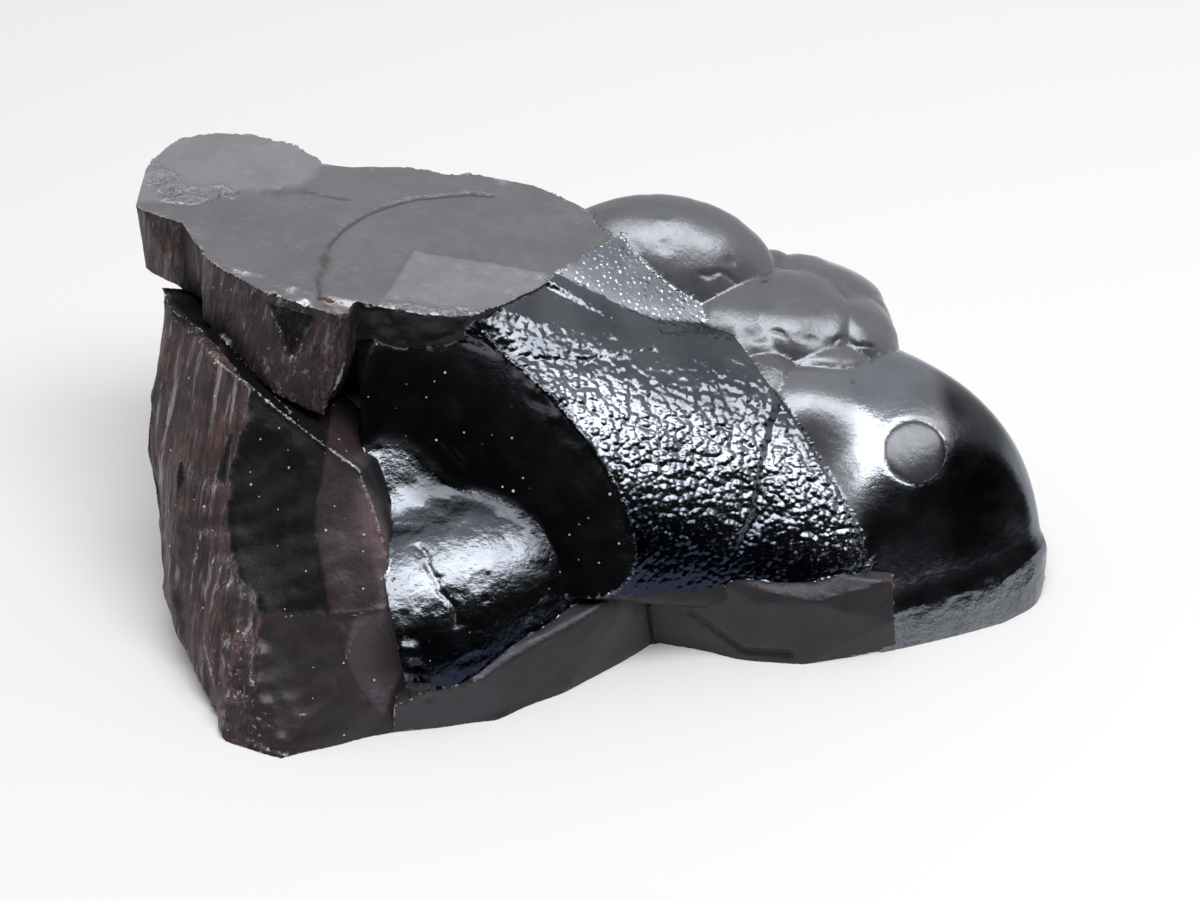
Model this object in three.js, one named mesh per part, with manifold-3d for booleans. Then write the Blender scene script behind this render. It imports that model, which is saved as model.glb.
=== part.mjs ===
// Raw hematite: one broken lump of kidney ore, as a single closed faceted solid.
// Millimetres, +Z up, +X along the longest side, resting on its flat broken base at z = 0.
// The stone is the union of broken chunks, each the convex hull of its corners, and of kidney-shaped
// lobes, each an ellipsoid, some of them trimmed by flat fracture planes.

import * as THREE from "three";
import { ConvexGeometry } from "three/addons/geometries/ConvexGeometry.js";
import { mergeVertices } from "three/addons/utils/BufferGeometryUtils.js";
import Module from "manifold-3d";

const wasm = await Module();
wasm.setup();

// Driving dimensions.
const plateHeight = 36.2; // top plate at its high left end
const plateFall = 0.137; // drop of the top plate per millimetre towards +X
const plateLeft = -46; // x where the plate is at its full height
const aboveAll = 40; // tops of chunks that the plate plane then cuts
const lobeSegments = [28, 16]; // facets round and along a small kidney
const roughSegments = [9, 6]; // facets of the one kidney that is broken rough
const domeSegments = [40, 24];
const bigLobeSegments = [52, 28];
const skinSegments = [96, 40]; // the long orange-peel lobe
const mergeDistance = 1e-4;
const cutterSide = 300; // a fracture plane is one face of a box this big
const heart = [0, 10, 5]; // a point deep inside the stone

const vector = (point) => new THREE.Vector3(...point);

// Turns a closed three.js geometry into a solid that can be joined and cut.
function solidOf(geometry) {
  const bare = geometry.clone();
  for (const name of Object.keys(bare.attributes)) {
    if (name !== "position") bare.deleteAttribute(name);
  }
  const merged = mergeVertices(bare, mergeDistance);
  const vertProperties = merged.attributes.position.array;
  const triVerts = new Uint32Array(merged.index.array);
  return new wasm.Manifold(new wasm.Mesh({ numProp: 3, vertProperties, triVerts }));
}

function geometryOf(solid) {
  const mesh = solid.getMesh();
  const geometry = new THREE.BufferGeometry();
  geometry.setAttribute("position", new THREE.BufferAttribute(new Float32Array(mesh.vertProperties), 3));
  geometry.setIndex(new THREE.BufferAttribute(new Uint32Array(mesh.triVerts), 1));
  geometry.computeVertexNormals();
  return geometry;
}

// A broken chunk: the convex hull of its corners.
function chunk(...corners) {
  return solidOf(new ConvexGeometry(corners.map(vector)));
}

// A kidney-shaped lobe: an ellipsoid turned by x, y and z angles in degrees.
function lobe(centre, radii, turn = [0, 0, 0], segments = lobeSegments) {
  const geometry = new THREE.SphereGeometry(1, ...segments);
  geometry.rotateX(Math.PI / 2);
  geometry.scale(...radii);
  const [x, y, z] = turn.map((angle) => THREE.MathUtils.degToRad(angle));
  geometry.applyMatrix4(new THREE.Matrix4().makeRotationFromEuler(new THREE.Euler(x, y, z, "XYZ")));
  geometry.translate(...centre);
  return solidOf(geometry);
}

// All that lies past the plane through a, b and c, on the side away from the kept point.
function beyond([a, b, c], kept) {
  const normal = vector(b).sub(vector(a));
  normal.cross(vector(c).sub(vector(a))).normalize();
  if (normal.dot(vector(kept).sub(vector(a))) > 0) normal.negate();
  const box = new THREE.BoxGeometry(cutterSide, cutterSide, cutterSide);
  box.translate(0, 0, cutterSide / 2);
  box.applyQuaternion(new THREE.Quaternion().setFromUnitVectors(new THREE.Vector3(0, 0, 1), normal));
  box.translate(...a);
  return solidOf(box);
}

function trim(solid, kept, ...planes) {
  return planes.reduce((rest, plane) => rest.subtract(beyond(plane, kept)), solid);
}

function union(...solids) {
  return solids.reduce((whole, solid) => whole.add(solid));
}

const plateZ = (x) => plateHeight - plateFall * (x - plateLeft);
const platePlane = [[plateLeft, 0, plateZ(plateLeft)], [0, 0, plateZ(0)], [0, 30, plateZ(0)]];
const basePlane = [[0, 0, 0], [1, 0, 0], [0, 1, 0]];

// The bulk that everything grows from, hidden in front and broken rough behind.
function makeCore() {
  return chunk(
    [-40, -8, 0], [-34, -18, 0], [-12, -14, 0], [2, -6, 0], [20, -7, 0], [32, -3, 0], [38, 6, 0],
    [34, 20, 0], [15, 26, 0], [-22, 27, 0], [-38, 20, 0],
    [-40, 10, 22], [-22, 7, 20], [5, 9, 18], [20, 12, 12], [33, 12, 8], [30, 22, 9],
    [8, 27, 17], [-12, 28, 22], [-36, 27, 21], [-41, 22, 23],
  );
}

// The flat top plate with its sheer front wall, in two chunks with a step between them.
function makePlate() {
  const left = chunk(
    [-46.4, 16.2, aboveAll], [-46.5, 19, aboveAll], [-46.2, 25, aboveAll], [-44.5, 30, aboveAll],
    [-39.4, 31.2, aboveAll], [-33, 30.3, aboveAll], [-28.2, 27.6, aboveAll], [-30, 20, aboveAll],
    [-41.1, 13.9, aboveAll], [-46.2, 16, 28], [-45.2, 24, 28], [-42, 29, 27], [-30, 27, 20],
    [-30, 14, 24], [-42.5, 12.5, 27.5],
  );
  const main = chunk(
    [-41.1, 13.9, aboveAll], [-38.7, 8.8, aboveAll], [-32.6, 5.2, aboveAll], [-23, 2.6, aboveAll],
    [-18.2, 1.1, aboveAll], [-12.6, 3.1, aboveAll], [-9.8, 4.8, aboveAll], [-5.5, 10.4, aboveAll],
    [3, 20.8, aboveAll], [-1, 24.8, aboveAll], [-4.2, 26.8, aboveAll], [-8.4, 28, aboveAll],
    [-14.5, 28.3, aboveAll], [-29, 27.2, aboveAll], [-38, 18, aboveAll],
    [-39, 9.5, 27.5], [-42, 13, 27.5], [-23, 6, 23], [-17, 6, 22], [-12, 5.5, 24], [-5, 11, 24],
    [1, 20, 20], [-10, 26, 20], [-30, 26, 20],
  );
  const tilted = [[-41, 15.5, 35.5], [-28, 27, 33.75], [-44, 28, 35.2]];
  return union(trim(left, heart, platePlane, tilted), trim(main, heart, platePlane));
}

// The fibrous column under the plate, between the wall and the ledge.
function makeColumn() {
  const column = chunk(
    [-38.7, 8.8, aboveAll], [-32.6, 5.2, aboveAll], [-23, 2.6, aboveAll], [-30, 14, aboveAll],
    [-24.1, 1.7, 28.5], [-24.6, 0.6, 27], [-26.9, -1.3, 22.5], [-30.6, 1.9, 27.5], [-32, 0.9, 24],
    [-39.6, 8.7, 26.5], [-35.8, 6.1, 25.5], [-30, 12, 20], [-24, 8, 22], [-24, 8, 31],
  );
  return trim(column, heart, platePlane);
}

// The broken block at the front left, with its sloping ledge and its crest.
function makeBlock() {
  return chunk(
    [-38, 3.3, 26], [-23.3, -6.5, 20], [-42.9, 6.6, 26.5], [-44.6, 13, 27.5], [-44.3, 8.2, 25],
    [-45.5, 4.2, 20.5], [-45.7, 2.3, 17], [-44.9, -1.6, 12], [-43.7, -5.1, 9], [-44, -8, 5.5],
    [-41.3, -13.3, 3], [-38.3, -19.6, 1], [-36.4, -23.3, 0],
    [-35.1, -15.4, 8.5], [-29.1, -16, 9.4], [-23.7, -16.3, 10.3], [-20.4, -16.2, 11.3], [-20.8, -12, 15.3],
    [-30.8, -26, 0], [-29.4, -23, 3], [-21.8, -21.7, 3], [-18.5, -19.5, 3], [-25.2, -24, 0], [-18.4, -22, 0],
    [-40, 14, 26], [-30, 8, 22], [-20, 3, 16], [-42, 14, 0], [-18, 5, 0],
  );
}

// The broken walls under the lobes, down to the base: one at the left, one at the right.
function makeWalls() {
  const left = chunk(
    [-19.5, -22.4, 0], [-13.2, -21, 0], [-9.8, -21.1, 0], [-4, -17.5, 0], [2, -12.7, 0], [4.9, -10, 0],
    [-16.5, -19.2, 3.8], [-11.7, -19, 3.8], [-9.8, -18, 4.2], [-5.9, -15.4, 5.8], [0, -12, 7.3],
    [4, -10, 8], [-18, -5, 0], [4, 0, 0], [-18, -5, 4], [4, -4, 9],
  );
  const right = chunk(
    [4.9, -9.8, 0], [10.1, -10, 0], [15.6, -12.8, 0], [20.1, -13, 0], [26.3, -11.1, 0], [29.5, -10.6, 0],
    [4, -8.7, 11.4], [9.9, -10.2, 9.8], [15.3, -11.6, 7.3], [20.7, -11.6, 7.2], [28.9, -9.3, 7.9],
    [29, -11, 4], [5, 0, 0], [29, 0, 0], [5, 0, 8], [28, 0, 6],
  );
  return union(left, right);
}

// The large lobe with the orange-peel skin, broken off along a curved rim at its left.
function makeSkinLobe() {
  const whole = lobe([8.7, 11.7, 9.1], [78.3, 22.3, 14.1], [5.5, 23, -9.5], skinSegments);
  const rim = [[-12.9, 2.4, 29.6], [-5.3, 0.2, 25.6], [0.4, -4.4, 19], [4, -7.8, 12], [4.6, -11, 8]];
  const outward = [-1, -7.5, 6];
  const inward = [-2, 8, -9];
  const aside = [-20, -8, -12];
  const moved = (point, step) => point.map((value, axis) => value + step[axis]);
  const hollow = chunk(...[outward, inward, aside].flatMap((step) => rim.map((point) => moved(point, step))));
  const sheet = trim(
    whole.subtract(hollow), [10, 8, 12],
    platePlane,
    [[-12.9, 0, 0], [-12.9, 10, 0], [-12.9, 0, 10]],
    [[12.4, 12.9, 24], [20.1, 2.2, 18], [19, 18, 10]],
    [[20.1, 2.2, 18], [28.9, -9.2, 8], [24, 10, 6]],
    [[0, 0, 5.5], [10, 0, 5.5], [0, 10, 5.5]],
    [[3, 20.8, 29], [8.6, 17.5, 25.6], [0, 26, 20]],
    [[0, 23, 0], [1, 23, 0], [0, 23, 1]],
  );
  const swell = lobe([19.8, -3, 6.5], [8, 8.8, 7.6]);
  return union(sheet, swell);
}

// The bright slanting facet between the plate and the skin lobe.
function makeSlant() {
  return chunk(
    [3, 20.8, 29.5], [-5.5, 10.4, 30.7], [-4.5, 11.2, 30.4], [-2, 9.9, 28.7], [0, 9.3, 27.5],
    [2.3, 9.4, 26.4], [5.5, 10.4, 25], [7.5, 11.1, 24.2], [10.2, 12.4, 23.2], [11.8, 13.4, 22.7],
    [12.5, 14.6, 22.7], [8.7, 17.5, 25.6], [5.6, 18.2, 27.4],
    [-4, 14, 22], [3, 20, 18], [11, 14, 16],
  );
}

// The mirror-smooth dark lobe in the hollow: a low bulge in front of a high one.
function makeDarkLobe() {
  const low = lobe([-11.3, -3.8, 4.4], [24.4, 14, 11.8], [17, -6, 33], bigLobeSegments);
  const high = lobe([-18.8, 5.5, 9.6], [20.7, 14.6, 11.7], [11, -1.4, 14], bigLobeSegments);
  return union(trim(low, [-11, -4, 8], [[-5.9, -14.6, 5], [4, -10.6, 7.2], [0, 0, 1]]), high);
}

// The kidneys at the right: a dome by the plate, a cluster of small ones and the big one at the end.
function makeKidneys() {
  return union(
    lobe([5, 20.2, 20.5], [14.3, 6.6, 11.4], [-29, -6, 3], domeSegments),
    lobe([18.5, 24, 17.5], [3.2, 4.5, 5]),
    lobe([23.3, 24, 16.7], [7, 5.6, 5.2]),
    lobe([19.1, 17.8, 18.3], [5.3, 6.6, 4.4]),
    lobe([26.9, 18.8, 16.3], [3.5, 5, 3.8]),
    lobe([28.3, 21.3, 14.6], [3.5, 4.1, 4.9]),
    lobe([29.6, 19, 12], [4.6, 3.6, 4.6]),
    lobe([21.8, 14.5, 15.1], [3.6, 4.2, 4.2]),
    lobe([18, 13.5, 15.5], [4, 4, 4], [20, 10, 30], roughSegments),
    lobe([13.5, 19, 14.5], [7, 8, 9]),
    lobe([26.9, 9.3, 3.2], [22.1, 16.3, 16], [6, 26, -35], bigLobeSegments),
    chunk(
      [46.3, -0.6, 0], [46.2, -0.4, 2], [41, -5.9, 0], [40.6, -5.6, 2.5], [36, -7.4, 0], [36, -7.2, 2.5],
      [45, 6, 0], [44, 6, 4], [38, 0, 0], [38, 0, 5],
    ),
  );
}

// The back: a buttress under the high end of the plate and a row of kidneys standing on the base.
function makeBack() {
  const buttress = chunk(
    [-41.5, 16, 27.5], [-42.5, 23, 27], [-40, 28.5, 26], [-31, 28.5, 26], [-30, 16, 26],
    [-40.5, 10, 0], [-42, 16, 3], [-40.5, 25, 0], [-36, 29, 8], [-28, 29.5, 10], [-28, 27, 0], [-28, 10, 0],
  );
  return union(
    buttress,
    lobe([-26, 23.5, 7], [8.5, 7.5, 10.5], [0, 0, 20]),
    lobe([-12, 23.5, 10], [12, 8, 12], [0, 10, 0]),
    lobe([2, 24, 14], [8.5, 7, 8]),
    lobe([4, 22.5, 5], [10, 8.5, 8.5], [0, 0, -10]),
    lobe([17.5, 20, 7], [10.5, 10.5, 9.5]),
    lobe([29, 17.5, 6], [7, 6.5, 6.5]),
  );
}

const stone = trim(
  union(
    makeCore(), makePlate(), makeColumn(), makeBlock(), makeWalls(),
    makeSkinLobe(), makeSlant(), makeDarkLobe(), makeKidneys(), makeBack(),
  ),
  heart,
  basePlane,
);

// The origin goes to the middle of the footprint.
const geometry = geometryOf(stone);
geometry.computeBoundingBox();
const middle = geometry.boundingBox.getCenter(new THREE.Vector3());
geometry.translate(-middle.x, -middle.y, 0);

const hematite = new THREE.MeshStandardMaterial({ color: 0x2b2a2e, metalness: 0.75, roughness: 0.3 });
const mesh = new THREE.Mesh(geometry, hematite);
mesh.name = "hematite";

const group = new THREE.Group();
group.add(mesh);

export default group;
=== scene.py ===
"""Raw hematite: a hand specimen of kidney ore, with its skin, fractures, stains and a plain studio.

Lengths in the shape functions are millimetres in the stone's own numbers; the mesh is written in metres.
"""

import itertools
import math

import bpy
import numpy as np
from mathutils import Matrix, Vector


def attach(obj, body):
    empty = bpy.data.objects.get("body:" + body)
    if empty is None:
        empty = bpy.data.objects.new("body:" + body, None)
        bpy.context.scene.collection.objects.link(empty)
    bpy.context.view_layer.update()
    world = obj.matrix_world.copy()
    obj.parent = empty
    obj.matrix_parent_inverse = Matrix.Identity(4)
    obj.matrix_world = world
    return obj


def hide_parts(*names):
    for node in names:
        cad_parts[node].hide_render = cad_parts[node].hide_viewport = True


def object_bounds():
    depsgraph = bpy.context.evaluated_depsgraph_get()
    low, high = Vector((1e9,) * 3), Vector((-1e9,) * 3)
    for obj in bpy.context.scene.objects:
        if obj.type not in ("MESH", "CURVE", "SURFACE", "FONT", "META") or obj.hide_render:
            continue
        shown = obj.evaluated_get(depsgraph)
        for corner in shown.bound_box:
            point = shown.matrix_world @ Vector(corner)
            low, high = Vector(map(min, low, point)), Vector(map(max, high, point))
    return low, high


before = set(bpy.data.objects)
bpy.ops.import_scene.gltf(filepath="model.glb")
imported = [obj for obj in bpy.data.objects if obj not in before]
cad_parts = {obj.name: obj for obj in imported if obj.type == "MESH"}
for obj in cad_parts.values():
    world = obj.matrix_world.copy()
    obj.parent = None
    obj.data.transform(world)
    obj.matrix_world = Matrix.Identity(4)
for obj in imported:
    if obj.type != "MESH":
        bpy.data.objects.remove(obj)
CAD_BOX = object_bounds()

bl_info = {
    "name": "Raw Hematite",
    "version": (1, 0, 0),
    "blender": (4, 5, 0),
    "location": "View3D > Sidebar > Hematite",
    "description": "Builds a lump of raw kidney-ore hematite and a studio to look at it in",
    "category": "Add Mesh",
}

MM = 0.001
FOOT_MIDDLE = np.array([0.037, 2.75, 0.0])  # middle of the footprint, in the stone's own numbers
HEART = (0, 10, 5)  # a point deep inside the stone
ABOVE_ALL = 40  # a height above the whole stone, where the plate's plane cuts chunks off
STONE_BOX = np.array([-48.0, -28.0, -0.8]), np.array([48.0, 34.0, 38.0])  # what the mesh grid spans
PLATE_HEIGHT = 36.2  # height of the plate's plane at its left end
PLATE_FALL = 0.137  # how far that plane falls for each millimetre to the right
PLATE_LEFT = -46  # where the plate's left end is
BATCH = 60000  # points worked out at a time, to spare memory
WAVE_DEPTH = 0.4  # about how far broken faces wave, in millimetres
SCOOP_REACH = 0.2  # skin and dark lobe this near to the bowl belong to the scoop
HOLD = 0.03  # how strongly a mesh vertex is held at the middle of the crossings round it
FAR_AWAY = 99.0  # farther than anything on the stone, in millimetres
LATTICE, PEBBLE_LATTICE = 32, 16  # after how many cells the noise and the bumps repeat: powers of two
JUST_INSIDE = -1e-3  # what a field says a micrometre inside the stone
FLAT_FOOT = 0.4  # below this height the stone has no relief, so that it rests flat
SHARP_ANGLE = 50  # edges that turn by more degrees than this are shaded sharp
FLOOR_REACH = 3.0  # from the middle of the floor to its sides, in metres
SOFTBOX_SIZE = (0.7, 0.3)  # metres
SOFTBOX_PLACE = (0.15, -0.1, 0.6)  # metres
CAMERA_AIM = np.array([0, 0, 17.2])  # what the camera looks at, in the stone's own numbers
CAMERA_DISTANCE = 240.65  # millimetres
CAMERA_TILT = 40  # how far above the stone's level the camera is, in degrees
HALF_VIEW = 14  # half the angle that the camera sees from side to side, in degrees
SENSOR_WIDTH = 36  # millimetres
# The room's light, turned up and over from the level in front: degrees, and how bright it is there.
ROOM_LIGHT = (
    (-180, 0.75), (-20, 0.2), (-8, 0.1), (3, 0.045), (15, 0.035), (28, 0.012), (52, 0.012), (66, 0.2),
    (95, 0.7), (130, 0.75), (180, 0.75),
)


# ---------------------------------------------------------------- fields


def plate_z(x):
    """Height of the top plate's plane above x."""
    return PLATE_HEIGHT - PLATE_FALL * (x - PLATE_LEFT)


def plane_through(a, b, c, kept):
    """Unit normal and offset of the plane through a, b and c, with the normal pointing away from kept."""
    a, b, c = (np.array(v, float) for v in (a, b, c))
    normal = np.cross(b - a, c - a)
    normal /= np.linalg.norm(normal)
    if normal @ (np.array(kept) - a) > 0:
        normal = -normal
    return normal, normal @ a


def hull_planes(corners):
    """The face planes of the convex hull of a few corners: every plane through three corners that has
    all the other corners on one side."""
    c = np.array(corners, float)
    i, j, k = np.array(list(itertools.combinations(range(len(c)), 3))).T
    normals = np.cross(c[j] - c[i], c[k] - c[i])
    size = np.linalg.norm(normals, axis=1)
    solid = size > 1e-6
    normals = normals[solid] / size[solid, None]
    offsets = np.einsum("ij,ij->i", normals, c[i][solid])
    side = c @ normals.T - offsets
    under = side.max(0) < 1e-6
    over = side.min(0) > -1e-6
    planes = np.vstack([
        np.column_stack([normals[under], offsets[under]]),
        -np.column_stack([normals[over], offsets[over]]),
    ])
    return np.unique(planes.round(6), axis=0)


def chunk(*corners):
    """A broken chunk as a field: the largest signed distance from the planes of its convex hull."""
    planes = hull_planes(corners).astype(np.float32)

    def field(p):
        return (p @ planes[:, :3].T - planes[:, 3]).max(1)

    return field


def turn_about(axis, angle):
    """The matrix that turns points about one axis by an angle in radians."""
    a, b = (axis + 1) % 3, (axis + 2) % 3
    matrix = np.eye(3)
    matrix[a, a] = matrix[b, b] = math.cos(angle)
    matrix[a, b], matrix[b, a] = -math.sin(angle), math.sin(angle)
    return matrix


def lobe(centre, radii, turn=(0, 0, 0)):
    """A kidney as a field: for the point q in the ellipsoid's own axes, divided by its radii,
    (|q| - 1) |q| / |q / radii|, which is nearly the distance to the ellipsoid. turn is in degrees."""
    turn_x, turn_y, turn_z = (turn_about(axis, angle) for axis, angle in enumerate(np.radians(turn)))
    radii = np.array(radii, np.float32)
    unturn = ((turn_x @ turn_y @ turn_z) / radii).astype(np.float32)
    middle = np.array(centre, np.float32)

    def field(p):
        q = (p - middle) @ unturn
        size = np.sqrt((q * q).sum(1)) + 1e-6
        steep = q / radii
        return (size - 1) * size / (np.sqrt((steep * steep).sum(1)) + 1e-6)

    return field


def trimmed(field, kept, *planes):
    """A field cut off at planes, each through three points, on the side away from kept."""
    cuts = [plane_through(*plane, kept) for plane in planes]
    normals = np.array([normal for normal, offset in cuts], np.float32)
    offsets = np.array([offset for normal, offset in cuts], np.float32)

    def cut(p):
        return np.maximum(field(p), (p @ normals.T - offsets).max(1))

    return cut


def without(field, taken):
    """A field with another one taken away."""
    return lambda p: np.maximum(field(p), -taken(p))


def union(*fields):
    """Several fields joined, with creases where they meet."""
    return lambda p: np.minimum.reduce([field(p) for field in fields])


def soft_union(width, first, second):
    """Two fields joined with a fillet about as wide as width."""

    def joined(p):
        a, b = first(p), second(p)
        share = np.clip(0.5 + 0.5 * (b - a) / width, 0, 1)
        return b + (a - b) * share - width * share * (1 - share)

    return joined


def soft_overlap(width, first, second):
    """What two fields share, with the edge between them rounded about as wide as width."""
    joined = soft_union(width, lambda p: -first(p), lambda p: -second(p))
    return lambda p: -joined(p)


PLATE_PLANE = [(PLATE_LEFT, 0, plate_z(PLATE_LEFT)), (0, 0, plate_z(0)), (0, 30, plate_z(0))]


def make_core():
    """The bulk that everything grows from."""
    return chunk(
        (-40, -8, 0), (-34, -18, 0), (-12, -14, 0), (2, -6, 0), (20, -7, 0), (32, -3, 0), (38, 6, 0),
        (34, 20, 0), (15, 26, 0), (-22, 27, 0), (-38, 20, 0),
        (-40, 10, 22), (-22, 7, 20), (5, 9, 18), (20, 12, 12), (33, 12, 8), (30, 22, 9),
        (8, 27, 17), (-12, 28, 22), (-36, 27, 21), (-41, 22, 23),
    )


def above(*places):
    """Corners high over the stone, each above a place on the ground."""
    return [(x, y, ABOVE_ALL) for x, y in places]


def make_plate_left():
    """The high left chunk of the plate, with a slightly lower top."""
    left = chunk(
        *above(
            (-46.4, 16.2), (-46.5, 19), (-46.2, 25), (-44.5, 30), (-39.4, 31.2), (-33, 30.3),
            (-28.2, 27.6), (-30, 20), (-41.1, 13.9),
        ),
        (-46.2, 16, 28), (-45.2, 24, 28), (-42, 29, 27), (-30, 27, 20), (-30, 14, 24),
        (-42.5, 12.5, 27.5),
    )
    tilted = [(-41, 15.5, 35.5), (-28, 27, 33.75), (-44, 28, 35.2)]
    return trimmed(left, HEART, PLATE_PLANE, tilted)


def make_plate():
    """The flat top plate with its sheer front wall."""
    main = chunk(
        *above(
            (-41.1, 13.9), (-38.7, 8.8), (-32.6, 5.2), (-23, 2.6), (-18.2, 1.1), (-12.6, 3.1),
            (-9.8, 4.8), (-5.5, 10.4), (3, 20.8), (-1, 24.8), (-4.2, 26.8), (-8.4, 28), (-14.5, 28.3),
            (-29, 27.2), (-38, 18),
        ),
        (-39, 9.5, 27.5), (-42, 13, 27.5), (-23, 4.2, 27), (-17, 3, 28), (-12, 3.4, 28.4), (-5, 11, 26),
        (1, 20, 20), (-10, 26, 20), (-30, 26, 20),
    )
    return trimmed(main, HEART, PLATE_PLANE)


def make_column():
    """The fibrous column under the plate, between the wall and the ledge."""
    column = chunk(
        *above((-38.7, 8.8), (-32.6, 5.2), (-23, 2.6), (-30, 14)),
        (-24.1, 1.7, 28.5), (-24.6, 0.6, 27), (-26.9, -1.3, 22.5), (-30.6, 1.9, 27.5), (-32, 0.9, 24),
        (-39.6, 8.7, 26.5), (-35.8, 6.1, 25.5), (-30, 12, 20), (-24, 8, 22), (-24, 8, 31),
    )
    return trimmed(column, HEART, PLATE_PLANE)


BLOCK_SPLIT = [(-37, 1.5, 24.6), (-39.6, -9, 12.2), (-45.6, 3.3, 19.5)]  # the fibrous left face


def make_block():
    """The broken block at the front left: a sloping ledge, a fibrous face at its left, and a front face
    with three shallow conchoidal scars, each the inside of a large ball."""
    bulk = chunk(
        (-38, 3.3, 26), (-23.3, -6.5, 20), (-42.9, 6.6, 26.5), (-44.6, 13, 27.5), (-44.3, 8.2, 25),
        (-45.5, 4.2, 20.5), (-45.7, 2.3, 17), (-44.9, -1.6, 12), (-43.7, -5.1, 9), (-44, -8, 5.5),
        (-41.3, -13.3, 3), (-38.3, -19.6, 1), (-36.4, -23.3, 0),
        (-35.1, -15.4, 8.5), (-29.1, -16, 9.4), (-23.7, -16.3, 10.3), (-20.4, -16.2, 11.3),
        (-20.8, -12, 15.3),
        (-30.8, -26, 0), (-29.4, -23, 3), (-21.8, -21.7, 3), (-18.5, -19.5, 3), (-25.2, -24, 0),
        (-18.4, -22, 0), (-40, 14, 26), (-30, 8, 22), (-20, 3, 16), (-42, 14, 0), (-18, 5, 0),
    )
    split = trimmed(bulk, (-30, 5, 10), BLOCK_SPLIT)
    scars = union(
        lobe((-42.3, -34.4, 43.7), (40, 40, 40)),
        lobe((-32.8, -35.2, 22.6), (23.5, 23.5, 23.5)),
        lobe((-17.2, -29, 13.2), (13.3, 13.3, 13.3)),
    )
    return without(split, scars)


def make_walls():
    """The broken walls under the lobes, down to the base."""
    left = chunk(
        (-20.2, -22.6, 0), (-19.9, -21.9, 3), (-17.5, -21.5, 4.2), (-13.2, -21, 0), (-9.8, -21.1, 0),
        (-4, -17.5, 0), (2, -12.7, 0), (4.9, -10, 0),
        (-17, -20.6, 4.6), (-11.7, -20.2, 4.8), (-9.8, -19, 5.2), (-5.9, -16, 6.8), (0, -12.5, 8.2),
        (4, -10.4, 9), (-18, -5, 0), (4, 0, 0), (-18, -5, 4), (4, -4, 9),
    )
    right = chunk(
        (4.9, -9.8, 0), (10.1, -10, 0), (15.6, -12.8, 0), (20.1, -13, 0), (26.3, -11.1, 0),
        (29.5, -10.6, 0), (4, -8.7, 11.4), (9.9, -10.2, 9.8), (15.3, -11.6, 7.3), (20.7, -11.6, 7.2),
        (28.9, -9.3, 7.9), (29, -11, 4), (5, 0, 0), (29, 0, 0), (5, 0, 8), (28, 0, 6),
    )
    return union(left, right)


def make_skin_lobe():
    """The large lobe with the orange-peel skin, broken off along a curved rim at its left, with its
    shoulder under the plate. A thin hem of skin laps over the foot of the slanting facet."""
    right_edge = [(20.1, 2.2, 18), (28.9, -9.2, 8), (24, 10, 6)]
    underside = [(0, 0, 5.5), (10, 0, 5.5), (0, 10, 5.5)]
    whole = lobe((10, 1.2, 14.2), (105, 14.7, 6), (34, 17.3, -0.3))
    sheet = trimmed(
        without(whole, make_bowl()), (10, 8, 12),
        PLATE_PLANE,
        [(-12.9, 0, 0), (-12.9, 10, 0), (-12.9, 0, 10)],
        [(12.4, 12.9, 24), (20.1, 2.2, 18), (19, 18, 10)],
        right_edge,
        underside,
        [(3, 20.8, 29), (8.6, 17.5, 25.6), (0, 26, 20)],
        [(0, 23, 0), (1, 23, 0), (0, 23, 1)],
    )
    bulge = lobe((11.4, 0.7, 12.1), (19.7, 12.4, 6), (38.8, 0.8, -28.6))
    swell = trimmed(bulge, (18, 0, 12), right_edge, underside)
    shoulder = chunk(
        (-13, 3.6, 31.3), (-9.8, 5.2, 30.9), (-5.5, 10.8, 30.3), (-4.3, 11.4, 30.1), (-2, 9.9, 28.4),
        (0, 9.2, 27.2), (2.3, 9.2, 26.4), (5.5, 10.2, 25),
        (-13, 3.2, 29.2), (-10, 2.4, 28.3), (-6, 2.7, 27.3), (-2.5, 3.6, 26.5), (1.5, 5.2, 25.6),
        (5, 7.4, 24.9), (-13, 8, 26), (-4, 12, 24), (-8, 6, 22), (5, 11, 22), (1, 7, 22),
    )
    slant = make_slant()
    grown = soft_union(1.2, soft_union(0.5, sheet, swell), shoulder)
    return soft_union(1.0, grown, lambda p: slant(p) + 0.15)


def make_slant():
    """The bright slanting facet between the plate and the skin lobe."""
    return chunk(
        (3, 20.8, 29.5), (-5.5, 10.4, 30.7), (-4.5, 11.2, 30.4), (-2, 9.9, 28.7), (0, 9.3, 27.5),
        (2.3, 9.4, 26.4), (5.5, 10.4, 25), (7.5, 11.1, 24.2), (10.2, 12.4, 23.2), (11.8, 13.4, 22.7),
        (12.5, 14.6, 22.7), (8.7, 17.5, 25.6), (5.6, 18.2, 27.4),
        (-4.2, 10.2, 24), (2.3, 8.9, 22), (9.8, 11.8, 18), (-4, 14, 22), (3, 20, 18), (11, 14, 16),
    )


def make_bowl():
    """The long ellipsoid whose inside is the scoop of the hollow."""
    return lobe((34.2, -62.6, -21.1), (27.7, 101.2, 9.7), (50.7, -18.8, 35))


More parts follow.
